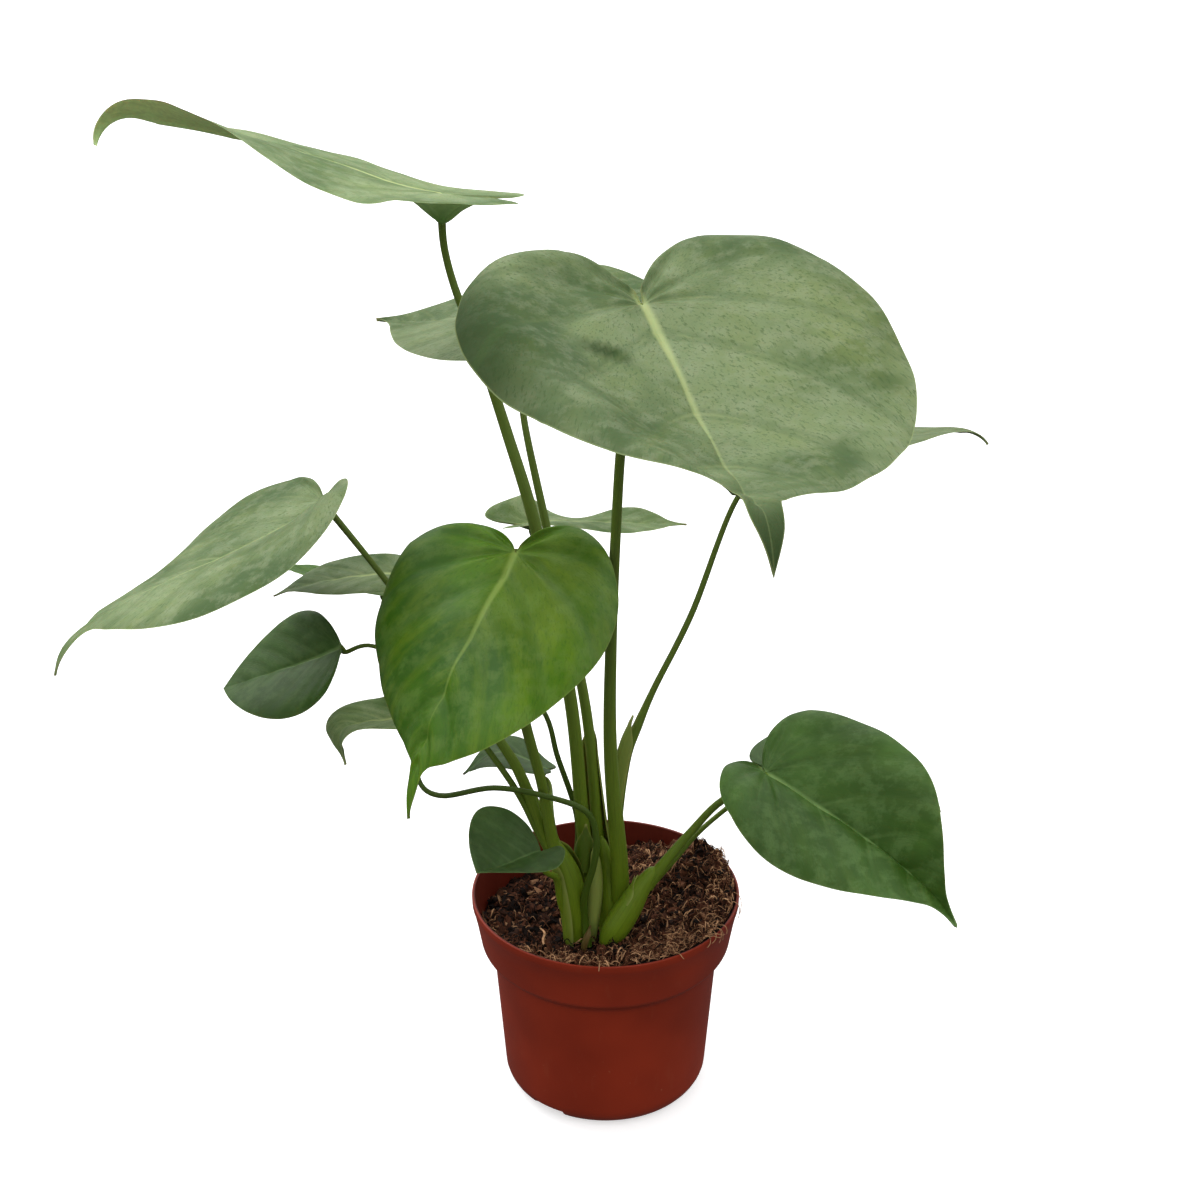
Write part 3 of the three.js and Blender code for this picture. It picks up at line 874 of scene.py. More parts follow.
    def relief(self, side: Side, grid: dict[str, Array]) -> Array:
        """Height of the quilting between sunk veins, of the margin's waves and of its turned-down edge.

        Args:
            side: The half.
            grid: The measures of that half.

        Returns:
            The height above the middle surface, by row and column.
        """
        share, around, along = grid["share"], grid["around"], grid["along"]
        body = ease(grid["span"], 1, 6) * ease(along, 0.97, 0.7)
        inner = 1 - 0.7 * share**1.5
        pillow = 0.5 - 0.5 * np.cos(2 * math.pi * grid["veins"])
        uneven = 0.75 + 0.5 * np.sin(2.3 * np.round(grid["veins"]) + self.seed)
        sunk = uneven * np.exp(-((grid["from_vein"] / self.plan.furrow_mm) ** 2))
        quilt = self.quilt * body * inner * (pillow - 0.6 * sunk)
        width = self.plan.rib_width * 1000
        channel = -self.plan.channel_share * self.plan.rib_depth * np.exp(-((grid["out"] / width) ** 2))
        channel = channel * (self.length / self.plan.usual_length) ** 0.5 * (1 - 0.8 * np.clip(along, 0, 1))
        drift = Unevenness(self.seed, 0.035).at(grid["points"].reshape(-1, 3)).reshape(share.shape)
        crest = self.plan.crest
        turned = np.where(share < crest, ease(share, 0.4, crest), 1 - ((share - crest) / (1 - crest)) ** 2)
        lateral = ease(around, 0.12, 0.3) * ease(around, 0.8, 0.5)
        sinus = ease(around, 0.0, 0.05) * ease(around, 0.24, 0.12)
        edge = turned * (self.cup[side.number] * lateral + self.tuck * sinus)
        return quilt + channel + self.wave * drift * ease(share, 0.1, 1) + edge

    def build(self, material: bpy.types.Material) -> bpy.types.Object:
        """Make the closed thin blade with its ribs, in place of its plain node.

        Args:
            material: The finish of its age.

        Returns:
            The blade's piece.
        """
        skin = Skin()
        for side in Side:
            grid = self.half(side)
            height = self.relief(side, grid)
            rounding = np.sqrt(np.clip(1 - grid["share"] ** 10, 0, 1))
            size = (self.length / self.plan.usual_length) ** 0.6
            taper = 1 - 0.85 * np.clip(grid["along"], 0, 1)
            width = 1400 * self.plan.rib_width * size
            ridge = self.plan.rib_depth * size * taper * np.exp(-((grid["out"] / width) ** 2))
            veinlet = np.exp(-((grid["from_vein"] / self.plan.vein_mm) ** 2)) * (1 - grid["share"])
            veinlet = self.plan.vein_depth * size * veinlet
            from_seat = np.hypot(grid["along"] * self.length, grid["out"] / 1000)
            foot = np.exp(-((from_seat / (self.boss_width * self.boss)) ** 1.6))
            for face in Face:
                offset = face.value * self.plan.thickness / 2 * rounding
                if face is Face.UNDER:
                    offset = offset - (ridge + veinlet + self.boss * foot) * rounding
                points = grid["points"] + grid["normals"] * (height + offset)[..., None]
                names = ("along", "veins", "share", "rib", "out", "span", "edge", "mark", "warm")
                measures = {name: grid[name] for name in names}
                measures["under"] = np.full(height.shape, float(face is Face.UNDER))
                measures["foot"] = foot
                # The light measure carries that painted light and shade to the finish.
                measures["light"] = np.full(height.shape, self.light if face is Face.TOP else self.underside_painted_light)
                skin.add_grid(points, flip=side.value * face.value > 0, **measures)
        skin.merge()
        made = skin.piece("blade_" + self.node.removeprefix("leaf_"), material, sharp_degrees=75)
        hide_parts(self.node)
        return made


@dataclass
class Foliage:
    """All the leaf blades and their three finishes."""

    blades: tuple[Blade, ...]
    finishes: dict[LeafAge, LeafFinish]

    def build(self) -> list[bpy.types.Object]:
        """Make every blade."""
        materials = {age: finish.material() for age, finish in self.finishes.items()}
        return [blade.build(materials[blade.age]) for blade in self.blades]

    def find(self, node: str) -> Blade:
        """Give the blade that stands for a node."""
        return next(blade for blade in self.blades if blade.node == node)


# Stems


@dataclass(frozen=True)
class SheathSection:
    """A stalk's section: two raised sheath lips with a channel between, that run out along it."""

    end: float
    lip: float = 0.22
    channel: float = 0.18
    facing: float = 90
    opening: float = 38
    ribs: int = 11

    def shape(self, places: Array, turn: Array) -> tuple[Array, Array]:
        """Scale the radius round the stalk.

        Args:
            places: Where along it, from 0 to 1.
            turn: Angles round it, in radians.

        Returns:
            The scale and how much of a lip there is, by place and angle.
        """
        part = ease(places, self.end, self.end * 0.55)[:, None]
        middle = math.radians(self.facing)
        off = (turn - middle + math.pi) % (2 * math.pi) - math.pi
        gap = math.radians(self.opening)
        lips = np.exp(-(((np.abs(off) - gap) / 0.2) ** 2))[None, :]
        dip = np.exp(-((off / (gap * 0.7)) ** 2))[None, :]
        grooves = 0.014 * np.cos(self.ribs * turn)[None, :]
        flat = 0.08 * dip * (1 - part)
        scale = 1 + part * (self.lip * lips - self.channel * dip) + grooves - flat
        return scale, part * lips


@dataclass(frozen=True)
class StalkFinish:
    """The look of crowns and stalks: bright at the foot, deeper above, with fine lengthwise lines."""

    name: str
    foot: Colour
    upper: Colour
    dark: Colour
    lip: Colour
    dry: Colour
    roughness: float

    def material(self) -> bpy.types.Material:
        """Build the node material.

        Returns:
            The material.
        """
        r = Recipe(self.name)
        place, tone = r.place(), r.measure("tone")
        height = r.axes(place)[2]
        patches = r.noise(place, 60, 3, 0.6)
        level = r.plus(height, r.times(r.sum("SUBTRACT", patches, 0.5), 0.05))
        colour = r.mix(r.step(level, 0.1, 0.25), self.foot, self.upper)
        lengthwise = r.vector(r.times(r.measure("around"), 5.0), r.times(height, 14.0), tone)
        lines = r.noise(lengthwise, 3.0, 3, 0.6)
        colour = r.mix(r.times(r.step(lines, 0.45, 0.7), 0.45), colour, self.dark)
        colour = r.mix(tone, colour, self.dark)
        fine = r.noise(place, 700, 3, 0.6)
        colour = r.mix(r.times(r.step(fine, 0.6, 0.8), 0.15), colour, self.lip)
        colour = r.mix(r.times(r.measure("lip"), 0.6), colour, self.lip)
        colour = r.mix(r.measure("pale"), colour, self.lip)
        dry = r.mix(r.step(lines, 0.35, 0.65), self.dry, r.mix(0.6, self.dry, self.dark))
        colour = r.mix(r.measure("dry"), colour, dry)
        r.bump(lines, 0.0004, 0.4)
        rough = r.plus(r.times(fine, 0.15), self.roughness - 0.07)
        return r.finish(colour, rough, Subsurface_Weight=0.1, Subsurface_Scale=0.003, Specular_IOR_Level=0.22)


@dataclass(frozen=True)
class Wrap:
    """A thin leaf base wrapped part of the way round what it holds, with pale lips and a blunt tip.

    Facing is the way its opening looks, turned from +X towards +Y. Opening is half the angle that
    is left open. From narrow_from on, the open part widens until only tip_share of it is left.
    """

    route: Route
    facing: float
    opening: float = 60
    narrow_from: float = 0.7
    tip_share: float = 0.15
    flare: float = 0.0005
    thickness: float = 0.0007
    tone: float = 0.0
    pale: float = 0.0
    dry: float = 0.0
    rows: int = 60
    columns: int = 24

    def add_to(self, skin: Skin) -> None:
        """Add the closed thin shell to a mesh.

        Args:
            skin: The mesh that it goes in.
        """
        places = np.linspace(0, 1, self.rows + 1)
        whole = smooth_curve(np.array(self.route, float), places)
        side = np.linspace(-1, 1, self.columns + 1)
        narrow = 1 - (1 - self.tip_share) * ease(places, self.narrow_from, 1.0) ** 1.5
        turn = math.radians(self.facing + 180) + side * math.radians(180 - self.opening) * narrow[:, None]
        rounding = np.sqrt(np.clip(1 - np.abs(side) ** 8, 0, 1))
        rounding = rounding * np.sqrt(np.clip(1 - places[:, None] ** 24, 0, 1))
        flare = self.flare * np.abs(side) ** 5
        local = Skin()
        for face in Face:
            reach = whole[:, 3:] + flare + (1 + face.value * rounding) * self.thickness / 2
            points = rings(whole[:, :3], reach, turn)
            lip = np.maximum(np.abs(side) ** 10 + 0 * reach, ease(places, 0.9, 1.0)[:, None])
            same = {"tone": self.tone, "pale": self.pale, "dry": self.dry}
            spread = {name: np.full(reach.shape, value) for name, value in same.items()}
            local.add_grid(points, flip=face is Face.TOP, lip=lip, around=turn, **spread)
        low = np.arange(self.columns)
        behind = len(local.points[0])
        local.faces.append(np.stack([low + behind, low + 1 + behind, low + 1, low], axis=1))
        local.merge()
        skin.absorb(local)


@dataclass(frozen=True)
class Stalk:
    """One leaf stalk: its blade, its route of x, y, z and radius, and its sheath."""

    blade: str
    route: Route
    sheath: float = 0.35
    facing: float = 90
    tone: float = 0.0
    flare: float = 1.5
    bend_below: float = 0.0022
    end_below: float = 0.0002

    def full_route(self, blade: Blade) -> Array:
        """Lead the route through a short neck up to the blade's back.

        Args:
            blade: The blade that it carries.

        Returns:
            Rows of x, y, z and radius.
        """
        up = blade.midrib()[3][0]
        radius = self.route[-1][3]
        marks = ((blade.neck, 1.08), (self.bend_below, 1.12), (self.end_below, self.flare))
        neck = [[*(np.array(blade.seat) - up * below), radius * wider] for below, wider in marks]
        return np.vstack([np.array(self.route), neck])


@dataclass
class Stem:
    """A leafy stem: the crown in the mix, every stalk that grows from it, and its old leaf bases."""

    node: str
    crown: Route
    stalks: tuple[Stalk, ...]
    wraps: tuple[Wrap, ...] = ()
    sides: int = 28
    crown_sides: int = 36
    crown_rings: int = 48
    crown_tip: float = 0.3
    crown_end: float = 0.15
    spacing: float = 0.0022
    crown_section: SheathSection = SheathSection(end=1.4, lip=0.1, channel=0.14)

    def build(self, foliage: Foliage, material: bpy.types.Material) -> bpy.types.Object:
        """Make the stem in place of its plain node.

        Args:
            foliage: The blades that it carries.
            material: The finish of stems.

        Returns:
            The stem's piece.
        """
        skin = Skin()
        bare = {"pale": 0.0, "dry": 0.0}
        crown = np.array(self.crown)
        end = crown[-1] + (crown[-1] - crown[-2]) * self.crown_tip
        end[3] = self.crown_end * crown[-1, 3]
        crown = np.vstack([crown, end])
        tube(skin, crown, self.crown_sides, self.crown_rings, self.crown_section, tone=0.0, **bare)
        for stalk in self.stalks:
            route = stalk.full_route(foliage.find(stalk.blade))
            length = np.linalg.norm(np.diff(route[:, :3], axis=0), axis=1).sum()
            section = SheathSection(end=stalk.sheath, facing=stalk.facing)
            tube(skin, route, self.sides, int(length / self.spacing), section, tone=stalk.tone, **bare)
        for wrap in self.wraps:
            wrap.add_to(skin)
        made = skin.piece("stalks_" + self.node.removeprefix("stem_"), material)
        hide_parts(self.node)
        return made


# Pot


@dataclass(frozen=True)
class PotFinish:
    """The look of the pot: satin red-brown moulded plastic with a little dust and a few scuffs, and painted
    shade on the inside of its wall.
    """

    name: str = "moulded_red_brown"
    body: Colour = plain(154, 50, 25)
    deep: Colour = plain(132, 41, 20)
    # The inner colour is painted shade for the inside of the wall.
    inner: Colour = plain(58, 20, 13)
    dust: Colour = plain(176, 112, 84)
    roughness: float = 0.46
    collar_slope: float = 1 / 6
    cone_radius: float = 0.0432
    inner_shade_from: float = 0.0735

    def material(self) -> bpy.types.Material:
        """Build the node material.

        Returns:
            The material.
        """
        r = Recipe(self.name)
        place = r.place()
        broad = r.noise(place, 26, 2, 0.5)
        fine = r.noise(place, 900, 3, 0.6)
        x, y, height = r.axes(place)
        colour = r.mix(r.step(broad, 0.25, 0.8), self.deep, self.body)
        # Painted shade: the inside of the wall, above a height, is darkened towards the inner colour.
        radius = r.sum("SQRT", r.plus(r.sum("POWER", x, 2), r.sum("POWER", y, 2)))
        from_cone = r.sum("SUBTRACT", radius, r.times(height, self.collar_slope))
        within = r.step(from_cone, self.cone_radius, self.cone_radius - 0.0005)
        inside = r.times(within, r.step(height, self.inner_shade_from, self.inner_shade_from + 0.001))
        colour = r.mix(r.times(inside, 0.65), colour, self.inner)
        low = r.step(height, 0.05, 0.008)
        specks = r.step(r.noise(place, 300, 2, 0.5), 0.72, 0.77)
        specks = r.times(specks, r.times(low, 0.6))
        colour = r.mix(specks, colour, self.dust)
        streaks = r.noise(r.vector(x, y, r.times(height, 0.2)), 260, 3, 0.6)
        film = r.times(r.step(streaks, 0.58, 0.8), 0.07)
        colour = r.mix(film, colour, self.dust)
        rough = r.plus(r.times(broad, 0.1), r.times(fine, 0.08))
        rough = r.plus(rough, self.roughness - 0.09)
        rough = r.plus(rough, r.times(specks, 0.3))
        r.bump(fine, 0.00005, 0.5)
        r.bump(broad, 0.0002, 0.1)
        return r.finish(colour, rough, Specular_IOR_Level=0.22)


@dataclass(frozen=True)
class Pot:
    """The nursery pot: a thin turned wall with a collar, a foot ring, holes and edge slots."""

    height: float = 0.098
    rim_radius: float = 0.06
    collar_foot_radius: float = 0.056
    collar_foot_height: float = 0.074
    shoulder_radius: float = 0.0506
    shoulder_height: float = 0.069
    base_radius: float = 0.0462
    edge_radius: float = 0.01
    wall: float = 0.0014
    foot_inner_radius: float = 0.032
    foot_height: float = 0.003
    pad_radius: float = 0.012
    floor: float = 0.0016
    hole_count: int = 6
    hole_ring: float = 0.022
    hole_radius: float = 0.0035
    hole_cut_top: float = 0.02
    cut_from: float = -0.005
    slot_turn: float = 234
    slot_width: float = 0.017
    slot_depth: float = 0.0075
    slot_height: float = 0.006
    segments: int = 160
    sharp_degrees: float = 32

    def outside(self, inset: float) -> Array:
        """Trace the wall from the foot's edge to the rim.

        Args:
            inset: How far inside the outer face.

        Returns:
            Rows of radius and height, with soft turns at the shoulder and collar.
        """
        turn = np.linspace(0, math.pi / 2, 9)
        edge = np.stack([
            self.base_radius - self.edge_radius + (self.edge_radius - inset) * np.sin(turn),
            self.edge_radius - (self.edge_radius - inset) * np.cos(turn),
        ], axis=1)
        soft = 0.0016
        marks = np.array([
            edge[-1],
            [self.shoulder_radius - inset, self.shoulder_height + inset / 2],
            [self.collar_foot_radius - inset, self.collar_foot_height + inset / 2],
            [self.rim_radius - inset, self.height],
        ])
        rows = [*edge]
        rows.extend(marks[0] + (marks[1] - marks[0]) * t for t in (0.33, 0.66))
        for before, corner, after in zip(marks, marks[1:], marks[2:]):
            into = corner + (before - corner) / np.linalg.norm(before - corner) * soft
            away = corner + (after - corner) / np.linalg.norm(after - corner) * soft
            for t in np.linspace(0, 1, 5):
                rows.append((1 - t) ** 2 * into + 2 * t * (1 - t) * corner + t**2 * away)
        rows.append(marks[2] + (marks[3] - marks[2]) * 0.5)
        return np.array(rows)

    def inner_radius(self, height: Array) -> Array:
        """Give the radius inside the wall at a height above the rounded edge."""
        inside = self.outside(self.wall)
        return np.interp(height, [*inside[8:, 1], self.height], [*inside[8:, 0], self.rim_radius - self.wall])

    def profile(self) -> Array:
        """Trace the whole closed section, from the middle of the foot round to the floor.

        Returns:
            Rows of radius and height.
        """
        floor_top = self.foot_height + self.floor
        inside = self.outside(self.wall)
        inside = inside[inside[:, 1] > floor_top + 0.0004]
        lip = 0.0005
        turn = np.linspace(0, math.pi, 7)[1:-1]
        middle = self.rim_radius - self.wall / 2
        rim = [[middle + self.wall / 2 * math.cos(t), self.height - lip + lip * math.sin(t)] for t in turn]
        bead = [
            [self.rim_radius - 0.0004, self.height - 0.0042],
            [self.rim_radius - 0.0001, self.height - 0.0036],
            [self.rim_radius, self.height - 0.0008],
        ]
        return np.array([
            [0, 0],
            [self.pad_radius, 0],
            [self.pad_radius + 0.002, self.foot_height],
            [self.foot_inner_radius - 0.0003, self.foot_height],
            [self.foot_inner_radius, self.foot_height - 0.0003],
            [self.foot_inner_radius, 0.0003],
            [self.foot_inner_radius + 0.0003, 0],
            *self.outside(0),
            *bead,
            *rim,
            [self.rim_radius - self.wall, self.height - 0.0008],
            *inside[::-1],
            [self.base_radius - self.edge_radius + 0.002, floor_top],
            [self.pad_radius + 0.001, floor_top],
            [self.pad_radius - 0.001, self.floor],
            [0, self.floor],
        ])

    def turned(self) -> Skin:
        """Turn the section round the pot's axis.

        Returns:
            The closed mesh, still without holes.
        """
        section = self.profile()
        turn = np.linspace(0, 2 * math.pi, self.segments, endpoint=False)
        skin = Skin()
        skin.add_grid(polar(section[:, :1], turn, section[:, 1:]), flip=True, closed=True)
        skin.merge()
        return skin

    def cutter(self, points: Array, top: float, name: str) -> bpy.types.Object:
        """Make a prism that a hole or slot is cut with.

        Args:
            points: Its section, one corner to a row.
            top: How high it reaches.
            name: What to call it while it is there.

        Returns:
            The prism, which starts below the pot's foot.
        """
        count = len(points)
        low = np.column_stack([points, np.full(count, self.cut_from)])
        high = np.column_stack([points, np.full(count, top)])
        mesh = bpy.data.meshes.new(name)
        sides = [[k, (k + 1) % count, (k + 1) % count + count, k + count] for k in range(count)]
        caps = [list(range(count))[::-1], list(range(count, 2 * count))]
        mesh.from_pydata(np.vstack([low, high]).tolist(), [], sides + caps)
        mesh.update()
        return stand(name, mesh)

    def cutters(self) -> list[bpy.types.Object]:
        """Make the prisms for the drain holes and the two edge slots.

        Returns:
            The prisms.
        """
        round_turn = np.linspace(0, 2 * math.pi, 24, endpoint=False)
        disc = self.hole_radius * np.stack([np.cos(round_turn), np.sin(round_turn)], axis=1)
        made = []
        for i in range(self.hole_count):
            turn = 2 * math.pi * i / self.hole_count
            middle = self.hole_ring * np.array([math.cos(turn), math.sin(turn)])
            made.append(self.cutter(disc + middle, self.hole_cut_top, f"cut_hole_{i}"))
        half, depth, soft = self.slot_width / 2, self.slot_depth, 0.002
        corner = np.linspace(math.pi, math.pi / 2, 5)
        inner = self.base_radius - depth
        upper = [[inner + soft + soft * math.cos(t), half - soft + soft * math.sin(t)] for t in corner]
        lower = [[x, -y] for x, y in upper][::-1]
        outline = np.array([*lower, *upper, [inner + 0.03, half], [inner + 0.03, -half]])[::-1]
        for i in range(2):
            turn = math.radians(self.slot_turn + 180 * i)
            across = np.array([[math.cos(turn), math.sin(turn)], [-math.sin(turn), math.cos(turn)]])
            made.append(self.cutter(outline @ across, self.slot_height, f"cut_slot_{i}"))
        return made

    def build(self, finish: PotFinish) -> bpy.types.Object:
        """Make the pot in place of its plain node.

        Args:
            finish: Its plastic.

        Returns:
            The pot's piece.
        """
        made = self.turned().piece("moulded_pot", finish.material(), self.sharp_degrees)
        cutters = self.cutters()
        for cutter in cutters:
            cut = made.modifiers.new("cut", "BOOLEAN")
            cut.operation = "DIFFERENCE"
            cut.solver = "EXACT"
            cut.object = cutter
        depsgraph = bpy.context.evaluated_depsgraph_get()
        finished = bpy.data.meshes.new_from_object(made.evaluated_get(depsgraph))
        made.modifiers.clear()
        made.data = finished
        for cutter in cutters:
            bpy.data.objects.remove(cutter)
        finished.shade_smooth()
        finished.set_sharp_from_angle(angle=math.radians(self.sharp_degrees))
        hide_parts("pot")
        return made


# Potting mix


@dataclass(frozen=True)
class MixFinish:
    """The look of peat and coir: from dark to tan by each bit's tone, with darker fine grain. The bed under
    the loose bits takes darker colours and a low tone: painted shade in the hollows between the bits together
    with the peat's own dark colour.
    """

    name: str
    dark: Colour
    middle: Colour
    pale: Colour
    spread: float

    def material(self) -> bpy.types.Material:
        """Build the node material.

        Returns:
            The material.
        """
        r = Recipe(self.name)
        place = r.place()
        grain = r.noise(place, 620, 5, 0.7)
        broad = r.noise(place, 70, 3, 0.6)
        tone = r.plus(r.measure("tone"), r.times(r.sum("SUBTRACT", broad, 0.5), self.spread))
        colour = r.mix(r.step(tone, 0.05, 0.55), self.dark, self.middle)
        colour = r.mix(r.step(tone, 0.55, 1.0), colour, self.pale)
        colour = r.mix(r.times(r.step(grain, 0.42, 0.66), 0.45), colour, self.dark)
        r.bump(grain, 0.0006, 0.7)
        rough = r.plus(r.times(grain, 0.2), 0.75)
        return r.finish(colour, rough, Specular_IOR_Level=0.15)


@dataclass(frozen=True)
class Mound:
    """A round rise in the top of the mix, in metres."""

    x: float
    y: float
    height: float
    spread: float

    def at(self, x: Array, y: Array) -> Array:
        """Give its height at places."""
        return self.height * np.exp(-((x - self.x) ** 2 + (y - self.y) ** 2) / (2 * self.spread**2))


@dataclass(frozen=True)
class StrandPatch:
    """A stretch of the top, between two turns from +X and two radii, and the strands that lie there."""

    count: int
    turn: tuple[float, float] = (0, 360)
    radius: tuple[float, float] = (0, 0.0555)
    length: tuple[float, float] = (0.0025, 0.009)
    thick: tuple[float, float] = (0.00011, 0.0003)
    tone: tuple[float, float] = (2.2, 2.4)
    pile: float = 0.0012

    def places(self, rng: np.random.Generator) -> tuple[Array, Array]:
        """Spread places evenly over the stretch.

        Args:
            rng: Where the draws come from.

        Returns:
            The places to the right and to the back.
        """
        inner, outer = self.radius
        radius = np.sqrt(rng.uniform(inner**2, outer**2, self.count))
        turn = np.radians(rng.uniform(*self.turn, self.count))
        return radius * np.cos(turn), radius * np.sin(turn)


@dataclass(frozen=True)
class PottingMix:
    """The mix: a lumpy bed with crumbs, chips and short coir strands, and loose threads at the rim."""

    pot: Pot
    level: float = 0.088
    rise_right: float = 0.1
    rise_front: float = 0.11
    mounds: tuple[Mound, ...] = (
        Mound(0.04, 0.022, 0.009, 0.022),
        Mound(0.047, 0.02, 0.006, 0.0085),
        Mound(0.036, 0.036, 0.002, 0.006),
        Mound(0.006, 0.03, 0.0015, 0.012),
        Mound(-0.004, -0.031, -0.003, 0.01),
    )
    clods: tuple[tuple[Unevenness, float], ...] = (
        (Unevenness(3, 0.013), 0.0014), (Unevenness(4, 0.005), 0.0009),
    )
    edge_rise: float = 0.0022
    edge_turn: float = -115
    edge_in: float = 0.003
    settle_from: float = 0.93
    # The bed's low tone is painted shade in the hollows between the loose bits, together with the peat's own
    # dark colour.
    bed_tone: float = 0.12
    margin: float = 0.0008
    gap: float = 0.0004
    rings: int = 100
    segments: int = 280
    crumbs: int = 5200
    crumb_size: tuple[float, float] = (0.0006, 0.0019)
    crumb_stretch: tuple[tuple[float, float], ...] = ((0.8, 3.2), (0.6, 1.3), (0.3, 0.9))
    crumb_bend: tuple[float, float] = (0.66, 1.3)
    crumb_tilt: float = 0.45
    crumb_rise: float = 0.35
    crumb_tone: tuple[float, float] = (1.1, 2.7)
    strand_steps: int = 5
    strand_lift: float = 0.0003
    strand_arch: float = 0.0035
    strand_tilt: float = 0.0008
    strand_ends: float = 0.45
    patches: tuple[StrandPatch, ...] = (
        StrandPatch(2300, tone=(1.1, 1.8)),
        StrandPatch(1900, (-75, 100), (0.018, 0.0575), tone=(2.0, 1.4)),
        StrandPatch(800, (-135, -40), (0.046, 0.058), (0.003, 0.011), tone=(2.8, 1.6), pile=0.0018),
        StrandPatch(420, (-50, 60), (0.047, 0.058), (0.003, 0.010), tone=(2.6, 1.7), pile=0.0018),
        StrandPatch(160, (180, 250), (0.050, 0.0575), (0.003, 0.008), tone=(3.0, 2.0), pile=0.0014),
    )
    root: Route = path(
        (-28.6, -30, 97.7, 0.3), (-26.5, -32.5, 96.8, 0.5),
        (-27.2, -35.2, 94.5, 0.5), (-25.4, -38, 90.5, 0.4),
    )
    threads: tuple[float, ...] = (-41, -39, -37.5, -36, -34, -33, -30, -12, -6, -58, -92)
    thread_radius: float = 0.0002
    seed: int = 7

    def top(self, x: Array, y: Array) -> Array:
        """Give the height of the mix's smooth top.

        Args:
            x: Places to the right.
            y: Places to the back.

        Returns:
            The heights.
        """
        lumps = 0.0007 * np.sin(330 * x + 1) * np.cos(290 * y) + 0.0005 * np.sin(500 * y + 210 * x)
        flat = self.level + self.rise_right * x - self.rise_front * y + lumps
        facing = np.clip(np.cos(np.arctan2(y, x) - math.radians(self.edge_turn)), 0, 1)
        edge = self.edge_rise * facing * ease(np.hypot(x, y), 0.034, 0.057)
        return flat + edge + sum(mound.at(x, y) for mound in self.mounds)

    def rough_top(self, x: Array, y: Array) -> Array:
        """Give the height of the top with its clods and pits.

        Args:
            x: Places to the right.
            y: Places to the back.

        Returns:
            The heights.
        """
        flat = np.stack([x, y, 0 * x], axis=-1).reshape(-1, 3)
        clods = sum(clod.at(flat) * height for clod, height in self.clods)
        heaps = sum(mound.at(x, y) for mound in self.mounds)
        return np.minimum(self.top(x, y) + clods.reshape(x.shape), self.pot.height - self.margin + heaps)

    def wall_top(self, turn: Array) -> Array:
        """Give the height at which the mix leaves the pot's wall, which it passes only at the heap.

        Args:
            turn: Angles from +X, in radians.

        Returns:
            The height at each.
        """
        radius = self.pot.rim_radius - self.edge_in
        height = self.top(radius * np.cos(turn), radius * np.sin(turn))
        return np.minimum(height, self.pot.height - self.margin)

    def bed(self, material: bpy.types.Material) -> bpy.types.Object:
        """Make the body of the mix in place of its plain node.

        Args:
            material: The finish of damp peat.

        Returns:
            The bed's piece.
        """
        turn = np.linspace(0, 2 * math.pi, self.segments, endpoint=False)
        wall_top = self.wall_top(turn)
        edge = self.pot.inner_radius(wall_top) - self.gap
        share = np.linspace(0, 1, self.rings)[:, None]
        reach = share * edge
        settle = ease(share, self.settle_from, 1.0)
        rough = self.rough_top(reach * np.cos(turn), reach * np.sin(turn))
        top_rows = polar(reach, turn, rough * (1 - settle) + wall_top * settle)[::-1]
        skin = Skin()
        floor = self.pot.foot_height + self.pot.floor + self.gap
        side = self.pot.outside(self.pot.wall)
        side = side[(side[:, 1] > floor + 0.001)]
        rows = [polar(0, turn, floor), polar(self.pot.base_radius - self.pot.edge_radius, turn, floor)]
        for wide, height in side[:-2]:
            level = np.minimum(height, wall_top)
            out = np.minimum(wide - self.gap, self.pot.inner_radius(level) - self.gap)
            rows.append(polar(out, turn, level))
        whole = np.vstack([np.array(rows), top_rows])
        skin.add_grid(whole, flip=True, closed=True, tone=np.full(whole.shape[:2], self.bed_tone))
        skin.merge()
        made = skin.piece("mix_bed", material, sharp_degrees=80)
        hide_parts("soil")
        return made

    def lump(self) -> tuple[Array, Array]:
        """Shape a lump with twenty even faces and a radius of about one.

        Returns:
            Its corners and its faces.
        """
        golden = (1 + math.sqrt(5)) / 2
        pairs = [(s, t * golden) for t in (1, -1) for s in (-1, 1)]
        turned = [[s, t, 0] for s, t in pairs] + [[0, s, t] for s, t in pairs] + [[t, 0, s] for s, t in pairs]
        corners = np.array(turned)
        joined = np.isclose(np.linalg.norm(corners[:, None] - corners, axis=-1), 2)
        faces = [
            (a, b, c) if np.linalg.det(corners[[a, b, c]]) > 0 else (a, c, b)
            for a, b, c in combinations(range(len(corners)), 3)
            if joined[a, b] and joined[b, c] and joined[a, c]
        ]
        return corners / 1.9, np.array(faces)

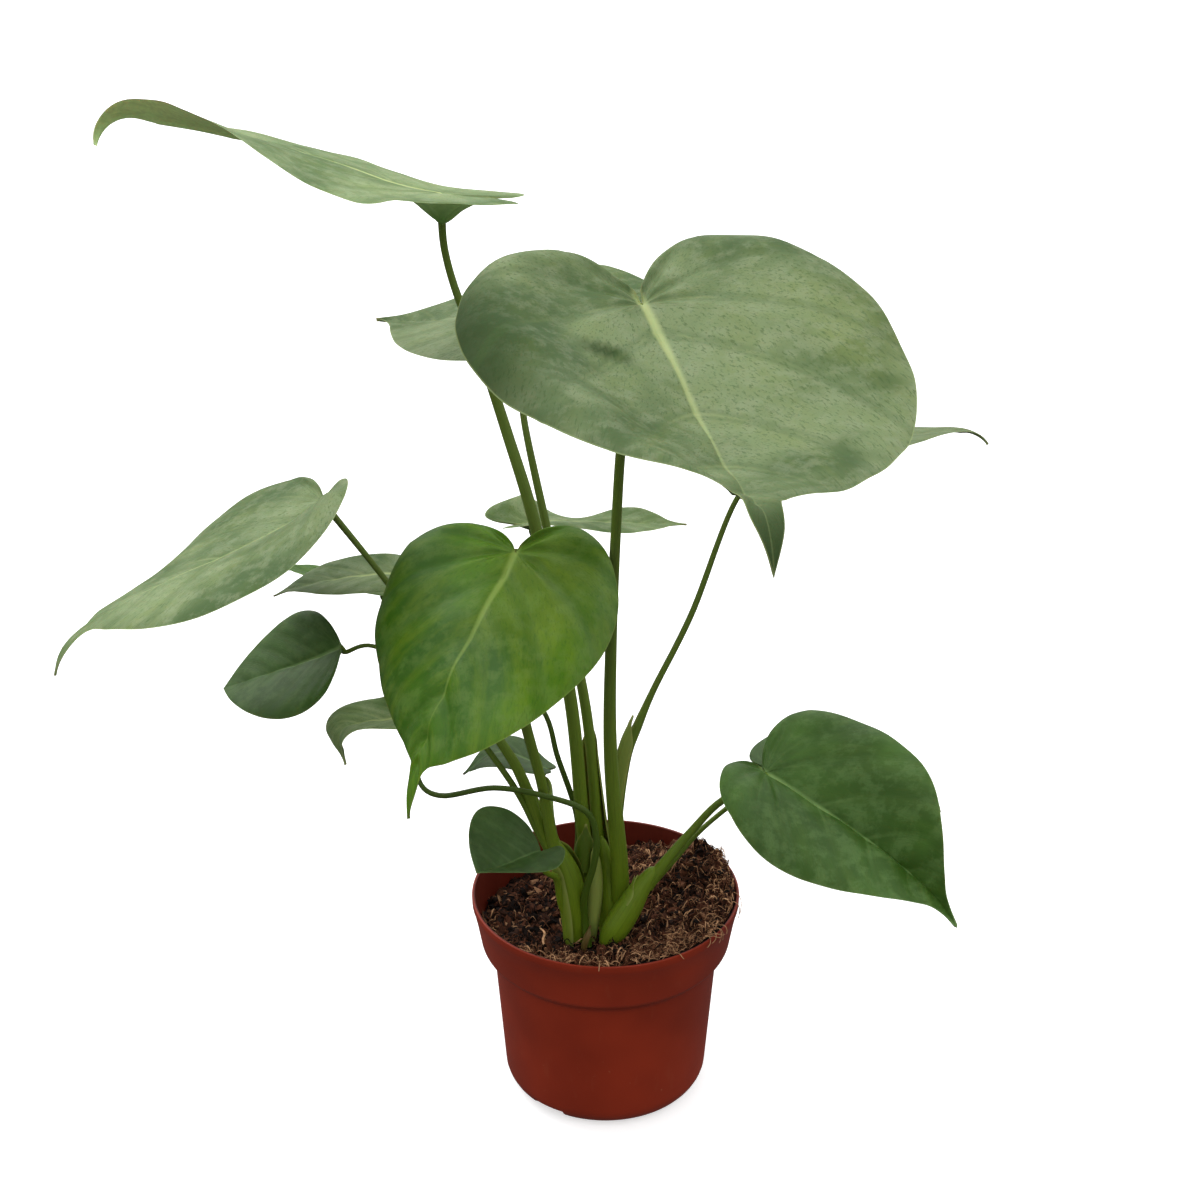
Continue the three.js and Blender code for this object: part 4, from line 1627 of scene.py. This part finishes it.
    def chips(self, material: bpy.types.Material) -> bpy.types.Object:
        """Make the crumbs and flat bark chips that lie on the bed.

        Args:
            material: The finish of bark and coir.

        Returns:
            Their one piece.
        """
        rng = np.random.default_rng(self.seed)
        corners, faces = self.lump()
        x, y = StrandPatch(self.crumbs).places(rng)
        z = self.rough_top(x, y)
        skin = Skin()
        for centre in np.stack([x, y, z], axis=1):
            size = self.crumb_size[0] + (self.crumb_size[1] - self.crumb_size[0]) * rng.uniform() ** 2.4
            stretch = size * np.array([rng.uniform(*limits) for limits in self.crumb_stretch])
            bent = corners * rng.uniform(*self.crumb_bend, (len(corners), 1)) * stretch
            turn, tip = rng.uniform(0, 2 * math.pi), rng.normal(0, self.crumb_tilt)
            tipped = bent @ np.array([
                [math.cos(tip), 0, -math.sin(tip)], [0, 1, 0], [math.sin(tip), 0, math.cos(tip)],
            ])
            turned = tipped @ np.array([
                [math.cos(turn), math.sin(turn), 0], [-math.sin(turn), math.cos(turn), 0], [0, 0, 1],
            ])
            placed = turned + centre + [0, 0, size * self.crumb_rise]
            # A crumb below the rim that would poke through the wall moves in by as much.
            past = np.hypot(placed[:, 0], placed[:, 1]) - self.pot.inner_radius(placed[:, 2]) + self.gap
            past = max(0, np.where(placed[:, 2] < self.pot.height, past, 0).max())
            placed[:, :2] -= past * centre[:2] / np.hypot(centre[0], centre[1])
            skin.add(placed, faces, tone=float(rng.beta(*self.crumb_tone)))
        made = skin.piece("mix_crumbs", material, sharp_degrees=30)
        return made

    def strand(self, patch: StrandPatch, x: float, y: float, rng: np.random.Generator) -> Array:
        """Shape one bent strand that lies on the top.

        Args:
            patch: The stretch that it belongs to.
            x: Its middle, to the right.
            y: Its middle, to the back.
            rng: Where the draws come from.

        Returns:
            Rows of x, y, z and radius.
        """
        steps = self.strand_steps
        length = rng.uniform(*patch.length)
        bend = rng.normal(0, 0.18, steps) + rng.choice([-1, 1]) * 0.5 * rng.uniform() ** 2.5
        headings = rng.uniform(0, 2 * math.pi) + np.cumsum(bend)
        flat = np.cumsum(np.stack([np.cos(headings), np.sin(headings)], axis=1), axis=0) * length / steps
        flat = flat - flat[steps // 2] + [x, y]
        reach = np.linalg.norm(flat, axis=1)
        wall = self.pot.inner_radius(self.rough_top(flat[:, 0], flat[:, 1]))
        limit = np.minimum(wall, self.pot.rim_radius - self.pot.wall) - self.margin
        flat = flat * np.minimum(1, limit / np.maximum(reach, 1e-6))[:, None]
        arch = rng.uniform() ** 3 * self.strand_arch
        tilt = rng.normal(0, self.strand_tilt) * np.linspace(-1, 1, steps)
        bow = arch * np.sin(np.linspace(0.1, math.pi - 0.1, steps))
        lift = self.strand_lift + bow + rng.uniform(0, patch.pile) + tilt
        z = self.rough_top(flat[:, 0], flat[:, 1]) + lift
        radius = rng.uniform(*patch.thick) * np.ones(steps)
        radius[[0, -1]] *= self.strand_ends
        return np.column_stack([flat, z, radius])

    def fibres(self, material: bpy.types.Material) -> bpy.types.Object:
        """Make the short coir strands over the crumbs, and the loose threads that hang over the rim.

        Args:
            material: The finish of bark and coir.

        Returns:
            Their one piece.
        """
        rng = np.random.default_rng(self.seed + 1)
        skin = Skin()
        for patch in self.patches:
            for x, y in zip(*patch.places(rng)):
                route = self.strand(patch, x, y, rng)
                tone = float(rng.beta(*patch.tone))
                tube(skin, route, sides=3, steps=self.strand_steps, tone=tone)
        for turn in self.threads:
            route = self.over_rim(turn + rng.normal(0, 0.8), rng)
            tube(skin, route, sides=4, steps=10, tone=0.85)
        tube(skin, np.array(self.root), sides=6, steps=16, tone=1.0)
        made = skin.piece("mix_strands", material, sharp_degrees=80)
        return made

    def over_rim(self, degrees: float, rng: np.random.Generator) -> Array:
        """Shape one loose thread that lies over the rim and droops outside it.

        Args:
            degrees: Where on the rim, turned from +X.
            rng: Where the draws come from.

        Returns:
            Rows of x, y, z and radius.
        """
        rim, top = self.pot.rim_radius, self.pot.height
        drift = rng.normal(0, 0.05)
        droop = rng.uniform(0.001, 0.0045)
        radius, height, part = np.array([
            (rim - 0.007, top - 0.0022, -1.6), (rim - 0.003, top + 0.0002, -0.8), (rim, top + 0.0008, 0.0),
            (rim + 0.0012, top - 0.35 * droop, 0.6), (rim + 0.0012, top - droop, 1.4),
        ]).T
        points = polar(radius, math.radians(degrees) + drift * part, height)
        return np.column_stack([points, np.full(len(points), self.thread_radius)])

    def build(self) -> list[bpy.types.Object]:
        """Make the bed, the crumbs and the strands.

        Returns:
            The three pieces.
        """
        # The bed's darker colours are painted shade between the loose bits, together with the peat's own dark
        # colour.
        bed = MixFinish("dark_peat_and_hollow_shade", plain(16, 9, 7), plain(46, 28, 19), plain(96, 62, 42), 0.5)
        bits = MixFinish("bark_and_coir", plain(18, 10, 7), plain(98, 57, 37), plain(234, 182, 136), 0.45)
        loose = bits.material()
        return [self.bed(bed.material()), self.chips(loose), self.fibres(loose)]


# Camera, floor and light


@dataclass(frozen=True)
class Sky:
    """How bright the soft room is overhead, behind, in front and below."""

    top: float = 1.65
    back: float = 0.85
    front: float = 0.5
    below: float = 0.12

    def build(self) -> bpy.types.World:
        """Make the world, which passes smoothly from each brightness to the next.

        Returns:
            The world.
        """
        world = bpy.data.worlds.new("soft_room")
        world.use_nodes = True
        background = world.node_tree.nodes["Background"]
        tree = NodeTree(world.node_tree)
        _, toward, height = tree.axes(tree.node("ShaderNodeTexCoord").outputs["Generated"])
        around = tree.step(toward, -0.4, 0.9, self.front, self.back)
        overhead = tree.step(height, 0.15, 0.85, around, self.top)
        tree.feed(background.inputs["Strength"], tree.step(height, -0.15, 0.02, self.below, overhead))
        tree.feed(background.inputs["Color"], (1.0, 1.0, 1.0))
        return world


@dataclass(frozen=True)
class Studio:
    """The view, a pale floor and soft light."""

    camera_place: Point = (0.0, -0.833886, 0.646937)
    camera_pitch: float = 64.124
    camera_turn: float = 0.1715
    lens: float = 66.12
    floor_size: float = 40.0
    floor_height: float = -0.0002
    floor_glow: float = 0.55
    sky: Sky = Sky()

    def camera(self) -> None:
        """Place the camera and make it the scene's own."""
        data = bpy.data.cameras.new("view")
        data.sensor_width = 36
        data.lens = self.lens
        made = stand("view", data)
        made.location = self.camera_place
        made.rotation_euler = (math.radians(self.camera_pitch), 0, math.radians(self.camera_turn))
        bpy.context.scene.camera = made

    def floor(self) -> bpy.types.Object:
        """Lay the pale floor, which throws no light back on the plant.

        Returns:
            The floor.
        """
        half = self.floor_size / 2
        mesh = bpy.data.meshes.new("floor")
        corners = [(x * half, y * half, self.floor_height) for x, y in ((-1, -1), (1, -1), (1, 1), (-1, 1))]
        mesh.from_pydata(corners, [], [(0, 1, 2, 3)])
        made = stand("floor", mesh)
        recipe = Recipe("pale_floor")
        material = recipe.finish(
            (0.75, 0.75, 0.75), 0.9, Specular_IOR_Level=0.1, Emission_Strength=self.floor_glow,
        )
        recipe.shader.inputs["Emission Color"].default_value = (1, 1, 1, 1)
        mesh.materials.append(material)
        made.visible_diffuse = False
        made.visible_glossy = False
        return made

    def lamp(self, name: str, place: Point, aim: Point, size: float, power: float) -> None:
        """Hang one square soft light.

        Args:
            name: What to call it.
            place: Where it hangs.
            aim: Where it points.
            size: The length of its side.
            power: Its power in watts.
        """
        data = bpy.data.lights.new(name, "AREA")
        data.size = size
        data.energy = power
        made = stand(name, data)
        made.location = place
        toward = np.array(aim) - np.array(place)
        flat = math.hypot(toward[0], toward[1])
        turn = math.atan2(toward[1], toward[0]) - math.pi / 2
        made.rotation_euler = (math.atan2(flat, -toward[2]), 0, turn)

    def build(self) -> None:
        """Set up the view, the floor and the light."""
        self.camera()
        self.floor()
        bpy.context.scene.world = self.sky.build()
        bpy.context.scene.view_settings.view_transform = "Standard"
        self.lamp("window", (-1.1, 0.9, 1.7), (0, 0, 0.25), size=1.2, power=16)


# The plant's own sizes

FINISHES = {
    LeafAge.MATURE: LeafFinish(
        "grey_green_leaf", body=plain(121, 140, 93), shade=plain(64, 92, 40), fresh=plain(118, 134, 52),
        bloom=plain(150, 162, 126), rib=plain(178, 192, 128), under=plain(134, 156, 104),
        fresh_share=0.22, bloom_share=0.33, vein_strength=0.22, fleck_strength=0.6, roughness=0.54, shine=0.2,
    ),
    LeafAge.FRESH: LeafFinish(
        "fresh_green_leaf", body=plain(78, 118, 16), shade=plain(46, 86, 6), fresh=plain(122, 146, 34),
        bloom=plain(112, 140, 66), rib=plain(132, 156, 72), under=plain(110, 138, 64),
        fresh_share=0.35, bloom_share=0.3, vein_strength=0.08, fleck_strength=0.4, roughness=0.44, shine=0.22,
    ),
    LeafAge.DEEP: LeafFinish(
        "deep_green_leaf", body=plain(60, 91, 33), shade=plain(40, 67, 15), fresh=plain(84, 109, 38),
        bloom=plain(90, 117, 66), rib=plain(106, 133, 76), under=plain(90, 112, 62),
        fresh_share=0.15, bloom_share=0.3, vein_strength=0.2, fleck_strength=0.35, roughness=0.44, shine=0.2,
    ),
}
STALK_FINISH = StalkFinish(
    "green_stalk", foot=plain(108, 132, 26), upper=plain(106, 128, 50), dark=plain(56, 80, 20),
    lip=plain(160, 168, 96), dry=plain(112, 78, 50), roughness=0.4,
)

BLADES = (
    Blade(
        "leaf_large", LeafAge.MATURE, Outline.DRIP, seat=mm(13, -75, 396.6), heading=-73, swing=(0, -11),
        pitch=(-12, -12, 6, 18), bend=(0.84, 1, 82), roll=(4, -11), length=0.188, width=0.156,
        fold=((14, 18, 5), (18, 22, 13)), curl=(-23, -24), lobe=(0.92, 1), bias=1.03, neck=0.009,
        quilt=0.001, wave=0.0009, cup=(0.0012, 0.0072), tuck=0.002, rib_half=0.002, boss=0.0018, light=0.76,
        # The first spot is the leaf's own olive blotch; the other two are painted shade on the margin that
        # turns down and on the drip tip.
        blotches_and_painted_shade=(
            Mark(0.2, -0.32, 0.028, 0.11, -0.11), Mark(0.2, -1.04, 0.32, 0.34), Mark(1, 0, 0.18, 0.7),
        ),
        warmth=Mark(0.2, 0.85, 0.15, 0.25, strength=0.35), seed=11, rows=130, columns=44,
    ),
    Blade(
        "leaf_front", LeafAge.FRESH, Outline.DRIP, seat=mm(-35, -63, 293), heading=-110, swing=(0, -27),
        pitch=(-28, -32, -56, -66), bend=(0.84, 1, 20), roll=(-7, 1, 15), length=0.116, width=0.099,
        fold=((0, 8), (0, -1)), curl=(-36, -27), lobe=(0.9, 0.5), bias=0.97, neck=0.008, quilt=0.0013,
        wave=0.0006, cup=(0.0014, 0.0014), tuck=0.0012, rib_half=0.0014, light=1.12, boss=0.0018,
        warmth=Mark(0.12, 0.3, 0.22, 0.4, strength=0.45),
        blotches_and_painted_shade=(Mark(0.16, -0.72, 0.2, 0.3, strength=0.35),), seed=12, rows=120, columns=40,
    ),
    Blade(
        "leaf_top", LeafAge.MATURE, Outline.WEDGE, seat=mm(-64, 10, 413.8), heading=162, swing=(0, 26),
        pitch=(1, 16, 10, 36), bend=(0.84, 1, 110), roll=(9, 7, 20, 40), length=0.147, width=0.111,
        fold=((6, 6, 11), (-1, 3, 48)), curl=(-7, -11), lobe=(1.4, 0.9), neck=0.009, wave=0.0007,
        # The under face of this blade is painted much lighter: painted light on the underside that shows near
        # its tip.
        boss=0.0095, boss_width=1.2, light=1.1, underside_painted_light=3.0, rib_half=0.0015, seed=13, rows=110,
        columns=36,
    ),
    Blade(
        "leaf_back_left", LeafAge.MATURE, Outline.HEART, seat=mm(-9, 70, 346), heading=165, swing=(0, -17),
        pitch=(1, -12, -14, 5), bend=(0.84, 1, 10), roll=(-4, -6), length=0.105, width=0.106,
        fold=((9, 6), (7, 5)), curl=(-19, -11), lobe=(1.2, 1.2), neck=0.007, light=0.84, seed=14,
    ),
    Blade(
        "leaf_back_right", LeafAge.MATURE, Outline.HEART, seat=mm(71, 25, 299), heading=8, swing=(0, -7),
        pitch=(8, 5, 6, -9), bend=(0.84, 1, 46), roll=(-7, -9), length=0.093, width=0.063,
        fold=((4, -2), (7, 10)), curl=(-14, -12), neck=0.006, light=0.7, seed=15,
    ),
    Blade(
        "leaf_back_middle", LeafAge.MATURE, Outline.HEART, seat=mm(-33, 55, 253), heading=6, swing=(0, -5),
        pitch=(6, -3, -3, -1), roll=(-16, -3), length=0.069, width=0.044, fold=((41, -3, 18, 8), (9, 2)),
        curl=(-12, -8), lobe=(1.5, 1), neck=0.005, light=1.26, seed=16,
    ),
    Blade(
        "leaf_left", LeafAge.MATURE, Outline.DRIP, seat=mm(-113.8, -20, 296.2), heading=211, swing=(0, -7),
        pitch=(-30, -13, -20, -47), bend=(0.84, 1, 30), roll=(1, 14, 1), length=0.13, width=0.114,
        fold=((39, 14, 2, 15), (-2, 8, -7, 16)), curl=(-30, -24), lobe=(0.4, 0.2), neck=0.007,
        cup=(0.001, 0.001), rib_half=0.0014, light=0.98, seed=17, rows=110, columns=36,
    ),
    Blade(
        "leaf_left_pale", LeafAge.MATURE, Outline.HEART, seat=mm(-89, 12, 249), heading=188, swing=(0,),
        pitch=(0, -4, -10, -14), bend=(0.84, 1, 10), roll=(-2,), length=0.053, width=0.037,
        fold=((10,), (6,)), curl=(-10, -10), neck=0.004, light=0.98, seed=18,
    ),
    Blade(
        "leaf_left_rear", LeafAge.FRESH, Outline.HEART, seat=mm(-96, 40, 227), heading=174, swing=(0,),
        pitch=(12, 12, 10, 8), roll=(16,), length=0.054, width=0.04, fold=((8,), (8,)), curl=(-10, -10),
        neck=0.004, seed=19,
    ),
    Blade(
        "leaf_left_round", LeafAge.DEEP, Outline.OVATE, seat=mm(-111.5, -10, 225), heading=173,
        swing=(0, -7), pitch=(-32, -24, -24, -23), roll=(-28, -20), length=0.059, width=0.053,
        fold=((15, 10), (22, 11)), curl=(-25, -9), bias=1.07, neck=0.004, quilt=0.0002, wave=0.0003,
        light=1.22, seed=20,
    ),
    Blade(
        "leaf_left_low", LeafAge.MATURE, Outline.HEART, seat=mm(-83, -8, 193), heading=204, swing=(0, 14),
        pitch=(-30, 10, -10, -15), bend=(0.6, 0.72, 80), roll=(-2, 1, 6), length=0.05, width=0.029,
        fold=((24,), (25,)), curl=(-18, -18), neck=0.004, light=1.35, seed=21,
    ),
    Blade(
        "leaf_centre_small", LeafAge.DEEP, Outline.HEART, seat=mm(-27, 25, 146), heading=167, swing=(0, -9),
        pitch=(14, 10, -40, -36), roll=(21, -22), length=0.047, width=0.039, fold=((9,), (3,)),
        curl=(-12, -12), lobe=(0.4, 0.4), neck=0.004, quilt=0.0002, wave=0.0003, seed=22,
    ),
    Blade(
        "leaf_over_rim", LeafAge.DEEP, Outline.OVATE, seat=mm(-27, -50, 149), heading=222, swing=(0, 27),
        pitch=(17, 10, 22, 23), roll=(2, -15), length=0.046, width=0.052, fold=((40, 22), (46, 29)),
        curl=(-19, -2), lobe=(0.6, 0.6), neck=0.004, quilt=0.0002, wave=0.0003, seed=23,
    ),
    Blade(
        "leaf_right", LeafAge.DEEP, Outline.HEART, seat=mm(68, -20, 170.6), heading=-25, swing=(0, -38),
        pitch=(-25, -15, -12, -15), bend=(0.84, 1, 15), roll=(4, 35), length=0.109, width=0.09,
        fold=((27, 48), (24, 40)), curl=(-25, -41), lobe=(0.4, 0.7), neck=0.006, quilt=0.0006, wave=0.0006,
        cup=(0.001, 0.001), tuck=0.0008, rib_half=0.0013, light=1.4, seed=24, rows=110, columns=36,
    ),
    Blade(
        "leaf_right_rear", LeafAge.DEEP, Outline.HEART, seat=mm(71, 12, 155), heading=-6, swing=(0, -12),
        pitch=(19, 0, -12, -70), roll=(2, 7), length=0.084, width=0.055, fold=((11, 17), (14,)),
        curl=(-23, -20), lobe=(0.5, 0.6), neck=0.005, seed=25,
    ),
)
STEMS = (
    Stem(
        "stem_left",
        path(
            (-13, -27, 68, 4.3), (-13, -27, 92, 4.3), (-14, -28, 109, 5.6), (-16, -28, 122, 5.8),
            (-19, -28, 132, 4.4), (-23, -28, 141, 2.2),
        ),
        (
            Stalk("leaf_front", path(
                (-14, -27, 98, 3.2), (-17, -28, 123, 3), (-23, -29, 143, 2.5), (-27, -32, 172, 2.2),
                (-33, -40, 205, 2.2), (-36, -52, 234, 1.9), (-35, -66, 263, 1.7),
            )),
            Stalk("leaf_left", path(
                (-14, -26, 98, 3), (-18, -27, 124, 3), (-26, -27, 141, 2.6), (-35, -25, 169, 2.4),
                (-44, -24, 187, 2.1), (-67, -22, 224, 1.7), (-89, -21, 260, 1.3),
            )),
            Stalk("leaf_left_pale", path(
                (-13, -24, 96, 2), (-20, -20, 132, 1.6), (-37, -14, 167, 1.4), (-54, -6, 195, 1.2),
                (-71, 5, 230, 1),
            )),
            Stalk("leaf_left_rear", path(
                (-13, -24, 101, 2), (-13, -13, 119, 1.5), (-12, -8, 134, 1.4), (-14, -6, 147, 1.3),
                (-21, -2, 168, 1.2), (-27, 4, 187, 1.1), (-46, 16, 206, 1.1), (-73, 28, 210, 1),
            ), sheath=0.1, tone=0.75),
            Stalk("leaf_left_round", path(
                (-16, -28, 101, 1.6), (-20, -28, 127, 1.6), (-28, -28, 143, 1.5), (-37, -26, 163, 1.4),
                (-51, -23, 185, 1.3), (-73, -18, 215, 1.1), (-97, -11, 226, 0.9),
            ), tone=0.35),
            Stalk("leaf_left_low", path(
                (-7.5, -33.5, 90.5, 1.7), (-9, -31, 102, 1.7), (-9, -34, 117, 1.6), (-5, -37, 135, 1.5),
                (-4, -37, 148, 1.4), (-8, -37, 161, 1.3), (-24, -38, 169, 1.2), (-47, -34, 171, 1.2),
                (-71, -22, 160, 1.2), (-81, -14, 165, 1.1),
            ), sheath=0.1, tone=0.8),
            Stalk("leaf_centre_small", path((-14, -24, 97, 1.5), (-23, -4, 133, 1.2), (-25, 18, 141, 1))),
            Stalk(
                "leaf_over_rim",
                path((-15, -28, 98, 1.8), (-19, -31, 111, 1.8), (-21, -36, 127, 1.5), (-25, -48, 138, 1.2)),
            ),
        ),
        (
            Wrap(path(
                (-13, -27, 88.5, 4.6), (-13.5, -27.5, 105, 5.6), (-16, -28, 123, 6), (-19, -28, 134, 4.8),
                (-22, -28, 141, 3.4),
            ), facing=315, opening=55, narrow_from=0.55, tip_share=0.3, flare=0.0003, pale=0.06),
            Wrap(path(
                (-6.2, -26, 89, 1.6), (-5.8, -26, 99, 2.4), (-4.8, -25, 113, 2.9), (-4.4, -24, 125, 2),
                (-5.2, -23, 135, 0.5),
            ), facing=170, opening=14, narrow_from=0.9, tip_share=0.6, flare=0.0002, pale=0.5),
            Wrap(
                path((-9.5, -35, 89, 0.9), (-8, -35.2, 95.5, 1.2), (-5.6, -34, 101.5, 0.4)), facing=20,
                opening=90, tip_share=0.1, tone=0.4, dry=0.9, rows=20, columns=12,
            ),
            Wrap(
                path((-10.5, -21, 123, 3.6), (-9, -20, 135, 3), (-8.5, -19, 145, 1.4)), facing=90,
                opening=80, narrow_from=0.2, tone=0.7, rows=30, columns=16,
            ),
        ),
    ),
    Stem(
        "stem_middle",
        path((3, -19, 68, 5.8), (3, -19, 96, 5.8), (2, -17, 113, 4.6), (-1, -15, 130, 2.4)),
        (
            Stalk("leaf_large", path(
                (6, -20, 95, 4.2), (6, -23, 126, 3.8), (2, -30, 185, 2.9), (2, -38, 238, 2.4),
                (4, -56, 304, 2), (6, -66, 343, 1.9), (10, -73, 374, 1.8),
            ), sheath=0.3),
            Stalk("leaf_top", path(
                (-1, -17, 93, 3.6), (-7, -15, 115, 3.3), (-10, -13, 140, 3), (-15, -7, 198, 2.8),
                (-28, 1, 270, 2.6), (-41, 8, 316, 2.3), (-52, 10, 352, 1.9), (-60, 11, 374, 1.6),
                (-64, 11, 391, 1.5),
            ), flare=2.4),
            Stalk("leaf_back_left", path(
                (2, -17, 93, 3), (-3, -9, 132, 2.4), (-9, 4, 192, 2.1), (-25, 21, 266, 1.7),
                (-35, 34, 314, 1.4), (-33, 48, 325, 1.2), (-26, 60, 325, 1.2),
            ), sheath=0.5, facing=150),
            Stalk("leaf_back_right", path(
                (5, -15, 95, 2.8), (5, -8, 134, 2.2), (8, -1, 165, 2.8), (14, 3, 181, 2.1),
                (21, 7, 197, 1.5), (37, 14, 230, 1.4), (55, 22, 279, 1.2),
            ), sheath=0.5, facing=180, tone=0.2),
            Stalk(
                "leaf_back_middle",
                path((0, -15, 95, 2), (-5, 2, 143, 1.6), (-10, 12, 193, 1.4), (-24, 48, 238, 1)),
            ),
        ),
        (
            Wrap(path(
                (3, -18, 89, 6.1), (0.5, -14, 111, 5), (-3, -9, 133, 3.8), (-6.2, -2, 161, 3.1),
                (-8, 2, 181, 2.6),
            ), facing=250, opening=75, narrow_from=0.8, tip_share=0.2, pale=0.1, rows=90),
            Wrap(
                path((5.5, -6.5, 146, 2.4), (6.8, -3, 159, 3.3), (9.8, 0, 173, 3.1), (13.8, 3, 185, 1.6)),
                facing=20, opening=80, narrow_from=0.6, tip_share=0.2, pale=0.3,
            ),
            Wrap(
                path((11.8, -17, 89, 0.9), (11.8, -16, 105, 0.8), (13.5, -15, 115, 0.4)), facing=0,
                opening=30, tip_share=0.3, pale=0.4, rows=16, columns=10,
            ),
        ),
    ),
    Stem(
        "stem_right",
        path(
            (2, -32, 68, 4.8), (2, -32, 90, 4.6), (2, -32, 94, 4.9), (5, -32, 100, 5.9),
            (10, -31, 109, 5.8), (15, -30, 118, 4.4), (20, -29, 126, 2.6),
        ),
        (
            Stalk(
                "leaf_right",
                path((18, -29, 119, 3), (26, -28, 131, 2.3), (36, -25, 143, 1.8), (49, -22, 157, 1.6)),
                tone=0.15,
            ),
            Stalk(
                "leaf_right_rear",
                path((20, -26, 119, 2.2), (31, -20, 129, 1.7), (40, -12, 135, 1.2), (52, -1, 140, 1.1)),
                tone=0.3,
            ),
        ),
        (
            Wrap(path(
                (9.5, -31.2, 108, 4.6), (12.8, -30.6, 113.5, 4.7), (15.3, -30, 118, 4.2),
                (17.6, -29.7, 122.5, 3.6),
            ), facing=350, opening=105, narrow_from=0.35, tip_share=0.12, flare=0.0004, pale=0.05, rows=36),
        ),
    ),
)


def main() -> None:
    """Build the plant, its pot and the studio, and report each piece."""
    logging.basicConfig(level=logging.INFO, format="%(message)s")
    Studio().build()
    pot = Pot()
    pieces = [pot.build(PotFinish()), *PottingMix(pot).build()]
    foliage = Foliage(BLADES, FINISHES)
    pieces.extend(foliage.build())
    stalk_material = STALK_FINISH.material()
    pieces.extend(stem.build(foliage, stalk_material) for stem in STEMS)
    for piece in pieces:
        triangles = sum(len(face.vertices) - 2 for face in piece.data.polygons)
        LOG.info("%s: %d triangles", piece.name, triangles)


if __name__ == "__main__":
    main()
